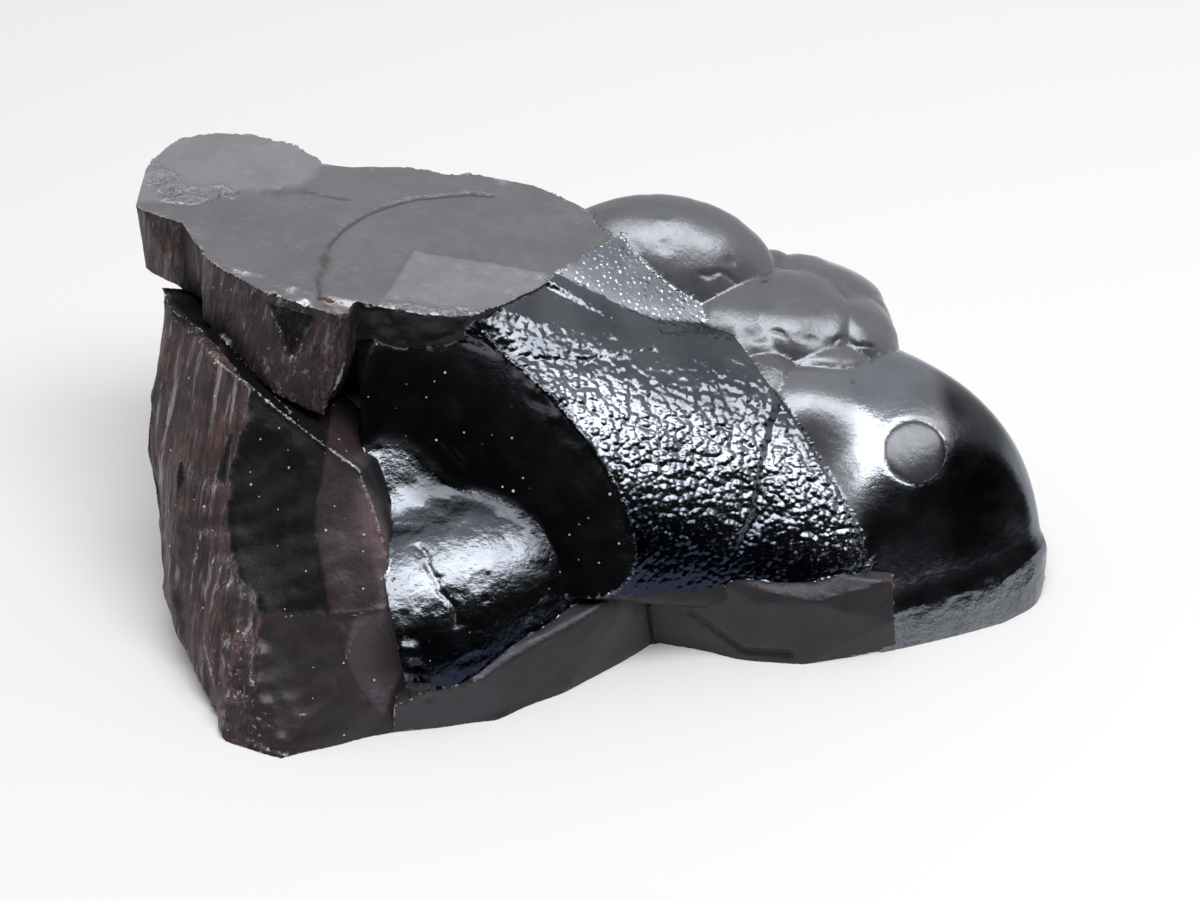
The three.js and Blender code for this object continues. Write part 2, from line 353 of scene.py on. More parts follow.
def make_dark_lobe():
    """The mirror-smooth hollow: a scooped back wall with one broad bulge in it."""
    back = chunk(
        (-24, 4, 27.5), (-22, 3.5, 28.3), (-15.7, 2.4, 28.3), (-11.3, 2, 28.4), (-7, 2, 27),
        (-5.3, 0.8, 25.4), (0.4, -3.8, 18.8), (4, -7.2, 11.8), (4.4, -10, 7.5),
        (-23, -6, 14), (-20, -14, 2), (-6, -15, 3), (2, -11, 6),
        (-24, 10, 10), (5, 10, 10), (5, 0, 0), (-20, 0, 0), (-10, 10, 28),
    )
    bulge = lobe((-16.2, -2.4, -3.3), (31.7, 16.3, 19.7), (33.1, 15.7, 30.5))
    beside_block = [(-22.5, -4, 14.5), (-18.2, -20.5, 2.5), (-22.5, 3.7, 8)]
    knob = lobe((-21.5, 0, 14.5), (6.5, 5.5, 4.5), (25, 0, 0))
    behind_wall = [(-20.2, -22.3, 0), (-13.2, -20.8, 0), (-17.5, -21.2, 4.2)]
    grown = trimmed(soft_union(4.0, bulge, knob), (-10, 0, 5), beside_block, behind_wall)
    return soft_union(1.2, without(back, make_bowl()), grown)


def make_dome():
    """The long dome beside the plate."""
    return lobe((5, 20.2, 20.5), (14.3, 6.6, 11.4), (-29, -6, 3))


def make_kidneys():
    """The cluster of small kidneys, flattened under one broad dome like buns risen into each other."""
    buns = union(
        lobe((17.6, 25.5, 19.6), (3.2, 3.8, 5.6)),
        lobe((22.6, 23, 17.2), (8, 7.4, 6.6)),
        lobe((19, 17.3, 19.1), (8.8, 7.8, 6.2)),
        lobe((26.3, 17, 17.5), (5.2, 5.9, 5.4)),
        lobe((28.4, 20, 15.9), (3.1, 4.5, 5.2)),
        lobe((12.3, 16.5, 17.2), (11, 13, 8), (15, 0, 0)),
        lobe((22.6, 11.4, 16.2), (7, 6.4, 5.2)),
    )
    return soft_overlap(1.5, buns, lobe((16.5, 19, 3.3), (23.5, 17, 21.9)))


def make_rough():
    """The low worn kidney between the cluster and the skin lobe."""
    return lobe((16.5, 10.2, 16.6), (5.5, 6, 5))


def make_big_kidney():
    """The biggest kidney, at the right end, with its broken foot and a worn swelling at its left."""
    foot = chunk(
        (46.3, -0.4, 0), (45, -0.6, 4.5), (41, -6.3, 0), (40.9, -4.6, 3.6), (36, -8, 0), (35.9, -6.6, 3),
        (29.5, -10, 0), (29.4, -9, 3.2), (42.3, 4, 0), (43, 4, 3), (38, 9, 0), (30, 0, 0), (30, -2, 4),
    )
    front = lobe((23.9, -2.1, -4.3), (39.2, 13.1, 28.6), (-24.8, 28.9, -42.9))
    crown = lobe((26.2, 5.2, -9.3), (40.7, 18.2, 33.6), (-19.3, 15, 15.6))
    side = lobe((20.5, 8, 13), (8.5, 7, 7.6))
    return soft_union(2.5, soft_union(3.0, soft_overlap(4.0, front, crown), side), foot)


def make_buttress():
    """The broken buttress under the high end of the plate, behind."""
    return chunk(
        (-41.5, 16, 27.5), (-42.5, 23, 27), (-40, 28.5, 26), (-31, 28.5, 26), (-30, 16, 26),
        (-40.5, 10, 0), (-42, 16, 3), (-40.5, 25, 0), (-36, 29, 8), (-28, 29.5, 10), (-28, 27, 0),
        (-28, 10, 0),
    )


def make_back_kidneys():
    """The kidneys on the back, which stand on the base."""
    return union(
        lobe((-26, 23.5, 7), (8.5, 7.5, 10.5), (0, 0, 20)),
        lobe((-12, 23.5, 10), (12, 8, 12), (0, 10, 0)),
        lobe((2, 24, 14), (8.5, 7, 8)),
        lobe((4, 22.5, 5), (10, 8.5, 8.5), (0, 0, -10)),
        lobe((17.5, 20, 7), (10.5, 10.5, 9.5)),
        lobe((29, 17.5, 6), (7, 6.5, 6.5)),
    )


MAKERS = {
    "core": make_core, "plate_left": make_plate_left, "plate": make_plate, "column": make_column,
    "block": make_block, "walls": make_walls, "skin": make_skin_lobe, "slant": make_slant,
    "dark": make_dark_lobe, "dome": make_dome, "kidneys": make_kidneys, "rough": make_rough,
    "big": make_big_kidney, "buttress": make_buttress, "back": make_back_kidneys,
}
REGIONS = (*MAKERS, "scoop")  # the scoop is where the bowl cuts the skin and the dark lobe
BROKEN = ("core", "plate_left", "plate", "column", "block", "walls", "buttress")


# ---------------------------------------------------------------- grain


def lattice_noise(p, size, seed):
    """A smooth random height from -1 to 1 at each point: random numbers on a cubic lattice of spacing
    size, blended between the eight round each point with the ease 6t^5 - 15t^4 + 10t^3."""
    numbers = np.random.default_rng(seed).uniform(-1, 1, (LATTICE,) * 3).astype(np.float32)
    q = p / np.float32(size) + LATTICE // 2
    low = np.floor(q)
    t = q - low
    t = t * t * t * (t * (t * 6 - 15) + 10)
    i, j, k = (low.astype(np.int32) & (LATTICE - 1)).T
    i2, j2, k2 = ((n + 1) & (LATTICE - 1) for n in (i, j, k))
    x, y, z = t.T
    a = numbers[i, j, k] * (1 - x) + numbers[i2, j, k] * x
    b = numbers[i, j2, k] * (1 - x) + numbers[i2, j2, k] * x
    c = numbers[i, j, k2] * (1 - x) + numbers[i2, j, k2] * x
    d = numbers[i, j2, k2] * (1 - x) + numbers[i2, j2, k2] * x
    return (a * (1 - y) + b * y) * (1 - z) + (c * (1 - y) + d * y) * z


def stretched(p, along, times):
    """Points squeezed along a direction, so that noise read there is drawn out along it."""
    along = np.array(along, np.float32)
    along /= np.linalg.norm(along)
    return p - (p @ along)[:, None] * along * np.float32(1 - 1 / times)


def shaken(p, depth):
    """Points shifted by a smooth random vector, which makes flat faces wave and straight edges wander."""
    shift = np.stack([
        lattice_noise(p, 9.0, 11 + axis) + 0.35 * lattice_noise(p, 3.3, 21 + axis) for axis in range(3)
    ], 1)
    return p + np.float32(depth) * shift


# ---------------------------------------------------------------- stone as one field


class Stone:
    """The whole stone as a field, with the region that each point belongs to. A field and not a grid of
    two parameters, because chunks, lobes and fracture planes meet along creases that no grid follows.
    Its formula: the least of the regions' fields, or the height below the base where that is greater."""

    def __init__(self):
        self.fields = [make() for make in MAKERS.values()]
        self.bowl = make_bowl()

    def parts(self, p):
        """Every region's field at the points. Broken regions are read at shaken points, so that their
        faces wave."""
        broken = shaken(p, WAVE_DEPTH)
        return np.stack([
            field(broken if name in BROKEN else p) for name, field in zip(REGIONS, self.fields)
        ])

    def __call__(self, p):
        """The stone's field: negative inside, positive outside."""
        p = np.asarray(p, np.float32)
        out = np.empty(len(p), np.float32)
        for start in range(0, len(p), BATCH):
            part = p[start:start + BATCH]
            out[start:start + BATCH] = np.maximum(self.parts(part).min(0), -part[:, 2])
        return out

    def regions(self, p):
        """The index of the region that each point belongs to, and how far it is from the next region."""
        p = np.asarray(p, np.float32)
        index, gap = np.empty(len(p), int), np.empty(len(p))
        for start in range(0, len(p), BATCH):
            part = slice(start, start + BATCH)
            parts = self.parts(p[part])
            least, second = np.partition(parts, 1, axis=0)[:2]
            owner = parts.argmin(0)
            from_bowl = np.abs(self.bowl(p[part]))
            hollowed = (owner == REGIONS.index("skin")) | (owner == REGIONS.index("dark"))
            owner[hollowed & (from_bowl < SCOOP_REACH)] = REGIONS.index("scoop")
            rim = owner == REGIONS.index("skin")
            index[part] = owner
            gap[part] = np.where(rim, np.minimum(second - least, from_bowl), second - least)
        return index, gap


def slopes(field, p, here, step=0.02):
    """Unit gradients of a field by forward differences."""
    rise = np.stack([field(p + np.eye(3, dtype=np.float32)[axis] * step) - here for axis in range(3)], 1)
    return rise / (np.linalg.norm(rise, axis=1)[:, None] + 1e-9)


def halves(axis):
    """Slices of a grid without its last layer along an axis, and without its first."""
    return [
        tuple(part if a == axis else slice(None) for a in range(3))
        for part in (slice(None, -1), slice(1, None))
    ]


def sample_near_surface(field, low, shape, cell, block=4):
    """The field on a grid. It is worked out at every block-th node first, and at the nodes between only
    in blocks that the surface may pass through; the others take their block's sign."""
    coarse_shape = [n // block + 2 for n in shape]
    axes = [low[a] + cell * block * np.arange(coarse_shape[a]) for a in range(3)]
    nodes = np.stack(np.meshgrid(*axes, indexing="ij"), -1).reshape(-1, 3)
    coarse = field(nodes).reshape(coarse_shape)
    corners = [
        coarse[i:coarse_shape[0] - 1 + i, j:coarse_shape[1] - 1 + j, k:coarse_shape[2] - 1 + k]
        for i, j, k in itertools.product((0, 1), repeat=3)
    ]
    reach = 0.9 * cell * block + 0.3  # half a block's diagonal, and a little for the waves
    near = np.minimum.reduce([np.abs(c) for c in corners]) < reach
    fill = np.kron(corners[0], np.ones((block,) * 3, np.float32))
    wanted = np.kron(near, np.ones((block,) * 3, bool))
    for lower, upper in map(halves, range(3)):
        wanted[upper] |= wanted[lower]
    fill = fill[:shape[0], :shape[1], :shape[2]]
    wanted = wanted[:shape[0], :shape[1], :shape[2]]
    fill[wanted] = field(low + np.argwhere(wanted) * cell)
    return fill


def untangled(values):
    """The grid with a few outside nodes made inside, until no grid square has its two inside corners
    across a diagonal, so that no edge of the mesh is shared by four faces."""
    tangled = True
    while tangled:
        tangled = False
        for a, b in ((0, 1), (1, 2), (0, 2)):
            (low_a, high_a), (low_b, high_b) = halves(a), halves(b)
            near_near, near_far = values[low_a][low_b], values[low_a][high_b]
            first, second = near_near < 0, near_far < 0
            across = (first == (values[high_a][high_b] < 0)) & (first != second)
            across &= second == (values[high_a][low_b] < 0)
            if across.any():
                tangled = True
                near_near[across & ~first] = JUST_INSIDE
                near_far[across & first] = JUST_INSIDE
    return values


def crossings(field, values, low, cell, axis):
    """Where the surface crosses the grid edges along one axis: the edges' lower nodes, the crossing
    points, found by false position, the unit normals there, and which edges start inside."""
    lower, upper = halves(axis)
    step = np.eye(3, dtype=int)[axis]
    index = np.argwhere((values[lower] < 0) != (values[upper] < 0))
    value_a = values[tuple(index.T)]
    value_b = values[tuple((index + step).T)]
    starts_inside = value_a < 0
    share_a, share_b = np.zeros(len(index)), np.ones(len(index))
    for _ in range(2):
        share = share_a + (share_b - share_a) * value_a / (value_a - value_b)
        points = low + (index + share[:, None] * step) * cell
        here = field(points)
        same = (here < 0) == starts_inside
        share_a, value_a = np.where(same, share, share_a), np.where(same, here, value_a)
        share_b, value_b = np.where(same, share_b, share), np.where(same, value_b, here)
    return index, points, slopes(field, points, here), starts_inside


def summed(faces, values, count):
    """What the faces round each vertex bring to it, added up: values has a row for each face."""
    return np.stack([
        sum(np.bincount(faces[:, corner], column, count) for corner in range(4)) for column in values.T
    ], 1)


def contour(field, low, high, cell):
    """A closed mesh of the surface where a field is zero, by dual contouring: each grid edge that crosses
    the surface gives a point and a normal there; each grid cell gets one vertex, the point with the least
    squared distance to the planes on its edges; and each crossing edge gets one face between the four
    cells round it."""
    shape = tuple(np.ceil((high - low) / cell).astype(int) + 1)
    values = untangled(sample_near_surface(field, low, shape, cell))
    strides = np.array([shape[1] * shape[2], shape[2], 1])
    quads, rows = [], []
    for axis in range(3):
        index, points, normals, starts_inside = crossings(field, values, low, cell, axis)
        across, up = np.eye(3, dtype=int)[(axis + 1) % 3], np.eye(3, dtype=int)[(axis + 2) % 3]
        cells = np.stack([
            (index - across * a - up * b) @ strides for a, b in ((1, 1), (0, 1), (0, 0), (1, 0))
        ], 1)
        quads.append(np.where(starts_inside[:, None], cells, cells[:, ::-1]))
        x, y, z = normals.T
        local = points - low
        reach = (normals * local).sum(1)
        rows.append(np.column_stack([
            x * x, x * y, x * z, y * y, y * z, z * z, normals * reach[:, None], local, np.ones(len(x)),
        ]))
    quads, rows = np.vstack(quads), np.vstack(rows)
    used, faces = np.unique(quads, return_inverse=True)
    faces = faces.reshape(-1, 4)
    total = summed(faces, rows, len(used))
    count = total[:, 12]
    mean = total[:, 9:12] / count[:, None]
    matrix = total[:, [0, 1, 2, 1, 3, 4, 2, 4, 5]].reshape(-1, 3, 3)
    right = total[:, 6:9] - np.einsum("ijk,ik->ij", matrix, mean)
    matrix = matrix + np.eye(3) * (HOLD * count)[:, None, None]
    shift = np.linalg.solve(matrix, right[:, :, None])[:, :, 0]
    corner = np.stack(np.unravel_index(used, shape), 1) * cell
    vertices = np.clip(mean + shift, corner, corner + cell) + low
    return vertices, faces


# ---------------------------------------------------------------- relief, marks and finishes


def smooth(low, high, value):
    """0 below low, 1 above high, and an even ease between."""
    t = np.clip((value - low) / (high - low), 0, 1)
    return t * t * (3 - 2 * t)


def pebbles(p, spacing, seed):
    """Close-packed rounded bumps from about 0 in the valleys to 1 on the tops: each point looks up the
    nearest of the shaken centres of a cubic lattice, at distance d, and takes
    1 - (d / spacing)^2 / 0.7, but no less than -0.2."""
    shake = np.random.default_rng(seed).uniform(0.1, 0.9, (PEBBLE_LATTICE,) * 3 + (3,)).astype(np.float32)
    q = (p / spacing).astype(np.float32) + 4 * PEBBLE_LATTICE
    low = np.floor(q).astype(np.int32)
    nearest = np.full(len(p), 9, np.float32)
    for step in itertools.product((-1, 0, 1), repeat=3):
        cell = low + np.array(step, np.int32)
        i, j, k = (cell & (PEBBLE_LATTICE - 1)).T
        gap = cell + shake[i, j, k] - q
        nearest = np.minimum(nearest, (gap * gap).sum(1))
    return np.clip(1 - nearest / 0.7, -0.2, 1)


def from_line(p, corners):
    """Distance to a bent line through a few corners: the least over its straight stretches."""
    out = np.full(len(p), FAR_AWAY)
    for a, b in zip(corners, corners[1:]):
        a, along = np.array(a, float), np.array(b, float) - np.array(a, float)
        share = np.clip((p - a) @ along / (along @ along), 0, 1)
        out = np.minimum(out, np.linalg.norm(p - a - share[:, None] * along, axis=1))
    return out


def depth_inside(q, corners):
    """How deep flat points are inside a convex outline given anticlockwise: the least distance to its
    sides, negative outside."""
    out = np.full(len(q), FAR_AWAY)
    for a, b in zip(corners, corners[1:] + corners[:1]):
        side = np.array(b, float) - np.array(a, float)
        gap = q - np.array(a, float)
        out = np.minimum(out, (side[0] * gap[:, 1] - side[1] * gap[:, 0]) / np.linalg.norm(side))
    return out


def beside(p, line, far, full=0.0):
    """1 within the distance full of a bent line, easing to 0 at far."""
    return smooth(far, full, from_line(p, line))


def within(q, corners, low, high):
    """0 at the depth low inside a flat outline, easing to 1 at high."""
    return smooth(low, high, depth_inside(q, corners))


def waves(p, *layers):
    """Lattice noises added up, each given as its height, its size and its seed."""
    return sum(tall * lattice_noise(p, size, seed) for tall, size, seed in layers)


def vertex_normals(points, faces):
    """Area-weighted normals of a mesh of quads."""
    a, b, c, d = (points[faces[:, n]] for n in range(4))
    out = summed(faces, np.cross(c - a, d - b), len(points))
    return out / (np.linalg.norm(out, axis=1)[:, None] + 1e-12)


def ridges(points, faces, normals, cell):
    """How sharply the mesh is creased outwards at each vertex, 0 to 1: the drop from the vertex, along
    its normal, to the mean of the middles of its faces, against a quarter of a cell."""
    count = np.bincount(faces.ravel(), minlength=len(points))
    mean = summed(faces, points[faces].mean(1), len(points)) / count[:, None]
    return np.clip(((points - mean) * normals).sum(1) / (0.25 * cell), 0, 1)


def main_body(points, faces):
    """The mesh without its small loose bits: labels spread over shared edges until each body has one,
    so a bit that touches the stone at a point alone is dropped as well."""
    ends = np.sort(np.stack([faces, np.roll(faces, -1, axis=1)], axis=2), axis=2).astype(np.int64)
    edges = np.unique(ends[..., 0] * len(points) + ends[..., 1], return_inverse=True)[1]
    edges = edges.reshape(faces.shape)
    label = np.arange(edges.max() + 1)
    while True:
        least = label[edges].min(1)
        spread = label.copy()
        np.minimum.at(spread, edges.ravel(), np.repeat(least, 4))
        spread = spread[spread]
        if (spread == label).all():
            break
        label = spread
    body = label[edges[:, 0]]
    faces = faces[body == np.bincount(body).argmax()]
    kept = np.zeros(len(points), bool)
    kept[faces] = True
    number = np.cumsum(kept) - 1
    return points[kept], number[faces]


# Lines and outlines on the stone, in its own millimetres.
ARC_MIDDLE, ARC_RADIUS = (-11.0, 7.5), 16.4  # the curved crack in the plate, seen from above
PLATE_SEAM = [(-41.2, 16.6, 35.5), (-35.6, 19.9, 35.0), (-29.7, 20.6, 34.2), (-25.6, 20.3, 33.6)]
PLATE_SPLIT = [(-26.9, 9.5, 33.8), (-27.3, 6.5, 33.7), (-27.0, 3.2, 33.6)]
PLATE_PATCH = [(-22, 1.5), (-12.5, 1.0), (-4.4, 11.4), (-18.6, 13.1)]
BLACK_FACET = [(-31.8, 33.4), (-30.3, 27.2), (-27.5, 32.3)]
RIM = [
    (-12.7, 3, 28.8), (-9.8, 1.7, 28), (-7.8, 0.3, 26.4), (-6.2, -0.7, 25.7), (-4.1, -1.5, 23.9),
    (-1.8, -2.9, 21.2), (0.4, -4.4, 18.3), (2.2, -6.5, 15.6), (3.7, -9.8, 13.4),
]
SKIN_EDGE = [(12.4, 12.9, 22.6), (20.1, 2.2, 18), (24.5, -3.5, 13), (28.9, -9.2, 8)]
ZIGZAG = [
    (-17.7, -11.1, 14.3), (-16.7, -12.1, 14), (-16.8, -12.9, 13.6), (-16.4, -13.5, 13.4),
    (-15.8, -14.2, 12.9), (-15.4, -15.3, 12.1), (-14.1, -16.1, 11.1), (-13.9, -17.4, 9.7),
]
FLOW_HIGH = [(-10.5, 1.6, 22.2), (-7.9, 0.6, 20.6), (-6.5, -1, 19.3), (-4.5, -3.5, 17.6)]
FLOW_LOW = [(-15.5, -1.2, 19.4), (-13.8, -2.6, 18.1), (-9.9, -5.2, 15.9), (-5.9, -7, 14.9)]
BESIDE_BLOCK = [(-22.5, -8.4, 17.6), (-20.9, -11.8, 15.2), (-20, -14.5, 13), (-18.3, -21.3, 6.2)]
GAP_FOOT = [(-18.6, -18.6, 9), (-17.8, -21, 5.2), (-16.4, -21, 4.4)]
PLATE_BROW = [(-27.1, 3.4, 33.6), (-24, 2.9, 33.2), (-18.2, 1.4, 32.3), (-15, 2.2, 32)]
NEAR_CORNER = [(-35.6, -17.5, 7.5), (-34.8, -20.5, 4), (-32.5, -24, 1)]
CREST = [(-38, 3.3, 26), (-30.5, -1.7, 23), (-23.3, -6.5, 20)]
LEDGE = [(-44, 7.2, 26.4), (-39.9, 7.4, 26.6), (-34.7, 3.6, 24.6), (-31.6, 0.6, 23.1), (-29.5, -1.4, 22.2)]
SLANT_FOOT = [(-4.5, 11.2, 30.4), (-2, 9.9, 28.7), (2.3, 9.4, 26.4), (7.5, 11.1, 24.2), (12.5, 14.6, 22.7)]
SLANT_TOP = [(3, 20.8, 29.5), (5, 18.6, 28)]
KIDNEY_CREASES = [
    [(25.9, 9.5, 20.5), (25.9, 7.1, 19.2), (25.2, 5.2, 17.6), (23.2, 2.1, 16.8)],
    [(10.3, 17, 26.4), (14.5, 17.6, 25.2), (18.1, 18.6, 24.4), (21, 20, 23.5)],
    [(19.7, 17.2, 24.1), (22.5, 17.2, 23.6), (25, 19.3, 22.5)],
    [(14.4, 10.5, 23), (17.5, 11.8, 22.9), (20.5, 11.6, 22.1), (24.1, 12.2, 21.4), (28, 12.9, 20.2)],
]
CORNER_CHIPS = [(-46, 22.3, 35.7), (-43.8, 20.5, 35.7), (-42.5, 17.6, 35.6), (-38.5, 18.6, 35.4)]
CORNER_FACET = [(-41.2, 16.6), (-30.6, 21.7), (-28.4, 27.5), (-35, 33), (-48, 33), (-48, 16)]
HOLLOW_EDGE = [(-24.3, 1.4, 28.6), (-25.2, 0.6, 26.5), (-26.4, -0.6, 23.8)]
BLOCK_EDGE = [
    (-36.6, 1.6, 25.1), (-37.2, -0.5, 22.7), (-38, -4.1, 18), (-38.9, -7.5, 14.5), (-40, -9.8, 11.3),
    (-39.7, -12.6, 8.6), (-37.7, -19.3, 2.8),
]
BLOCK_RIDGE = [(-35.2, -15.7, 8.6), (-29.1, -16.1, 9.8), (-23.7, -16.7, 10.4), (-20.5, -16.3, 11)]
BLOCK_FOOT = [(-33, -23.3, 2.6), (-29, -22.8, 3), (-24.5, -22, 3), (-20.8, -21, 3.1)]
BROWN_SIDE = [
    (-29.1, 9.8), (-20.5, 10.9), (-20.5, 15.2), (-23, 19.5), (-25, 21), (-29.8, 22.6), (-27.8, 16),
]
PALE_FACET = [(-23.7, 10.3), (-24.7, 8), (-23.2, 4.5), (-21, 2), (-18, 6.2), (-19, 9), (-20.9, 10.9)]
SKIN_CREASE = [
    (18.2, 3.4, 20), (17.4, 1.1, 18.9), (16.3, -2.7, 16.9), (15.4, -6.6, 13.7), (14.2, -8.4, 12.1),
]
WALL_SEAM = [(3.3, -12.6, 9.6), (9, -10.6, 5), (12, -11.5, 2.8), (14.4, -12.3, 1.3), (19, -12.7, 1.2)]
SCRATCH = [(-31.5, -1.2, 23.2), (-29.3, -2.8, 22.1), (-26.4, -3.9, 21)]
SCAR_MIDDLE, SCAR_RADIUS = np.array([31.7, 0.4, 16.9]), 3.3  # the round scar on the big kidney
ABOVE_SCAR = np.array([34.0, 4.5, 18.5])  # middle of the worn place over it
RIPPLE_HEART = np.array([-38.0, 0.0, 30.0])  # where the ripples of the block's break spread from
# Where flecks gather: how likely they are, the one region they are in or None for all, the line, the
# distance from it at which they die away, and if it isn't 0 the distance up to which they are at their
# most.
RUSTY = (
    (0.55, None, RIM[:4], 1.2), (0.55, None, RIM[3:], 0.7), (0.55, None, SKIN_EDGE, 0.6),
    (0.8, None, [SKIN_EDGE[-1], (27.4, -8.6, 9.4)], 1.6), (0.8, None, PLATE_BROW, 0.9),
    (0.75, None, BESIDE_BLOCK, 0.8), (0.6, None, GAP_FOOT, 2.2), (0.7, None, SLANT_TOP, 1.3),
    (0.9, None, ZIGZAG, 0.3, 0.05),
)
# Pale flecks along lines: partly chipped edges, partly painted highlights along crests, ridges, edges and
# flow lines.
CHIPS_AND_PAINTED_HIGHLIGHTS = (
    (1.2, None, CREST, 0.35), (0.9, None, HOLLOW_EDGE, 0.6, 0.1), (0.9, "block", LEDGE, 0.4),
    (0.8, "block", BLOCK_RIDGE, 0.3), (0.9, "block", BLOCK_FOOT, 0.5), (0.8, "block", SCRATCH, 0.2),
    (0.5, "block", NEAR_CORNER, 3.5, 1.0), (0.8, "block", BLOCK_EDGE, 0.5, 0.1),
    (0.5, "scoop", FLOW_HIGH, 0.25),
)


def on_left_face(p, normals):
    """Which points are on the fibrous left side of the block: within 0.8 mm of its split, or facing
    well left."""
    a, b, c = np.array(BLOCK_SPLIT)
    across = np.cross(b - a, c - a)
    from_split = np.abs((p - a) @ across) / np.linalg.norm(across)
    return (from_split < 0.8) | (normals[:, 0] < -0.55)


def along_fibres(p, region):
    """Each point's place among the fibres: squeezed twelve times along them, so that noise read there is
    drawn out. The fibres run down the split of the block, and upright everywhere else."""
    on_block = (region == REGIONS.index("block"))[:, None]
    return np.where(on_block, stretched(p, (2.6, 10.5, 12.4), 12), stretched(p, (0.15, -0.2, 1), 12))


def cracks(p):
    """Distance to the nearest crack in the plate, wandering a little."""
    wander = 0.25 * lattice_noise(p, 2.0, 51)[:, None] * np.array([1, 0.6, 0])
    q = p + wander
    arc = np.abs(np.hypot(q[:, 0] - ARC_MIDDLE[0], q[:, 1] - ARC_MIDDLE[1]) - ARC_RADIUS)
    arc[(p[:, 0] > -11) | (p[:, 1] < 8.5)] = FAR_AWAY
    return np.minimum.reduce([arc, from_line(q, PLATE_SEAM), from_line(q, PLATE_SPLIT)])


def creases(p):
    """Distance to the nearest crease between two kidneys, wandering a little."""
    q = p + 0.5 * lattice_noise(p, 1.8, 55)[:, None]
    return np.minimum.reduce([from_line(q, line) for line in KIDNEY_CREASES])


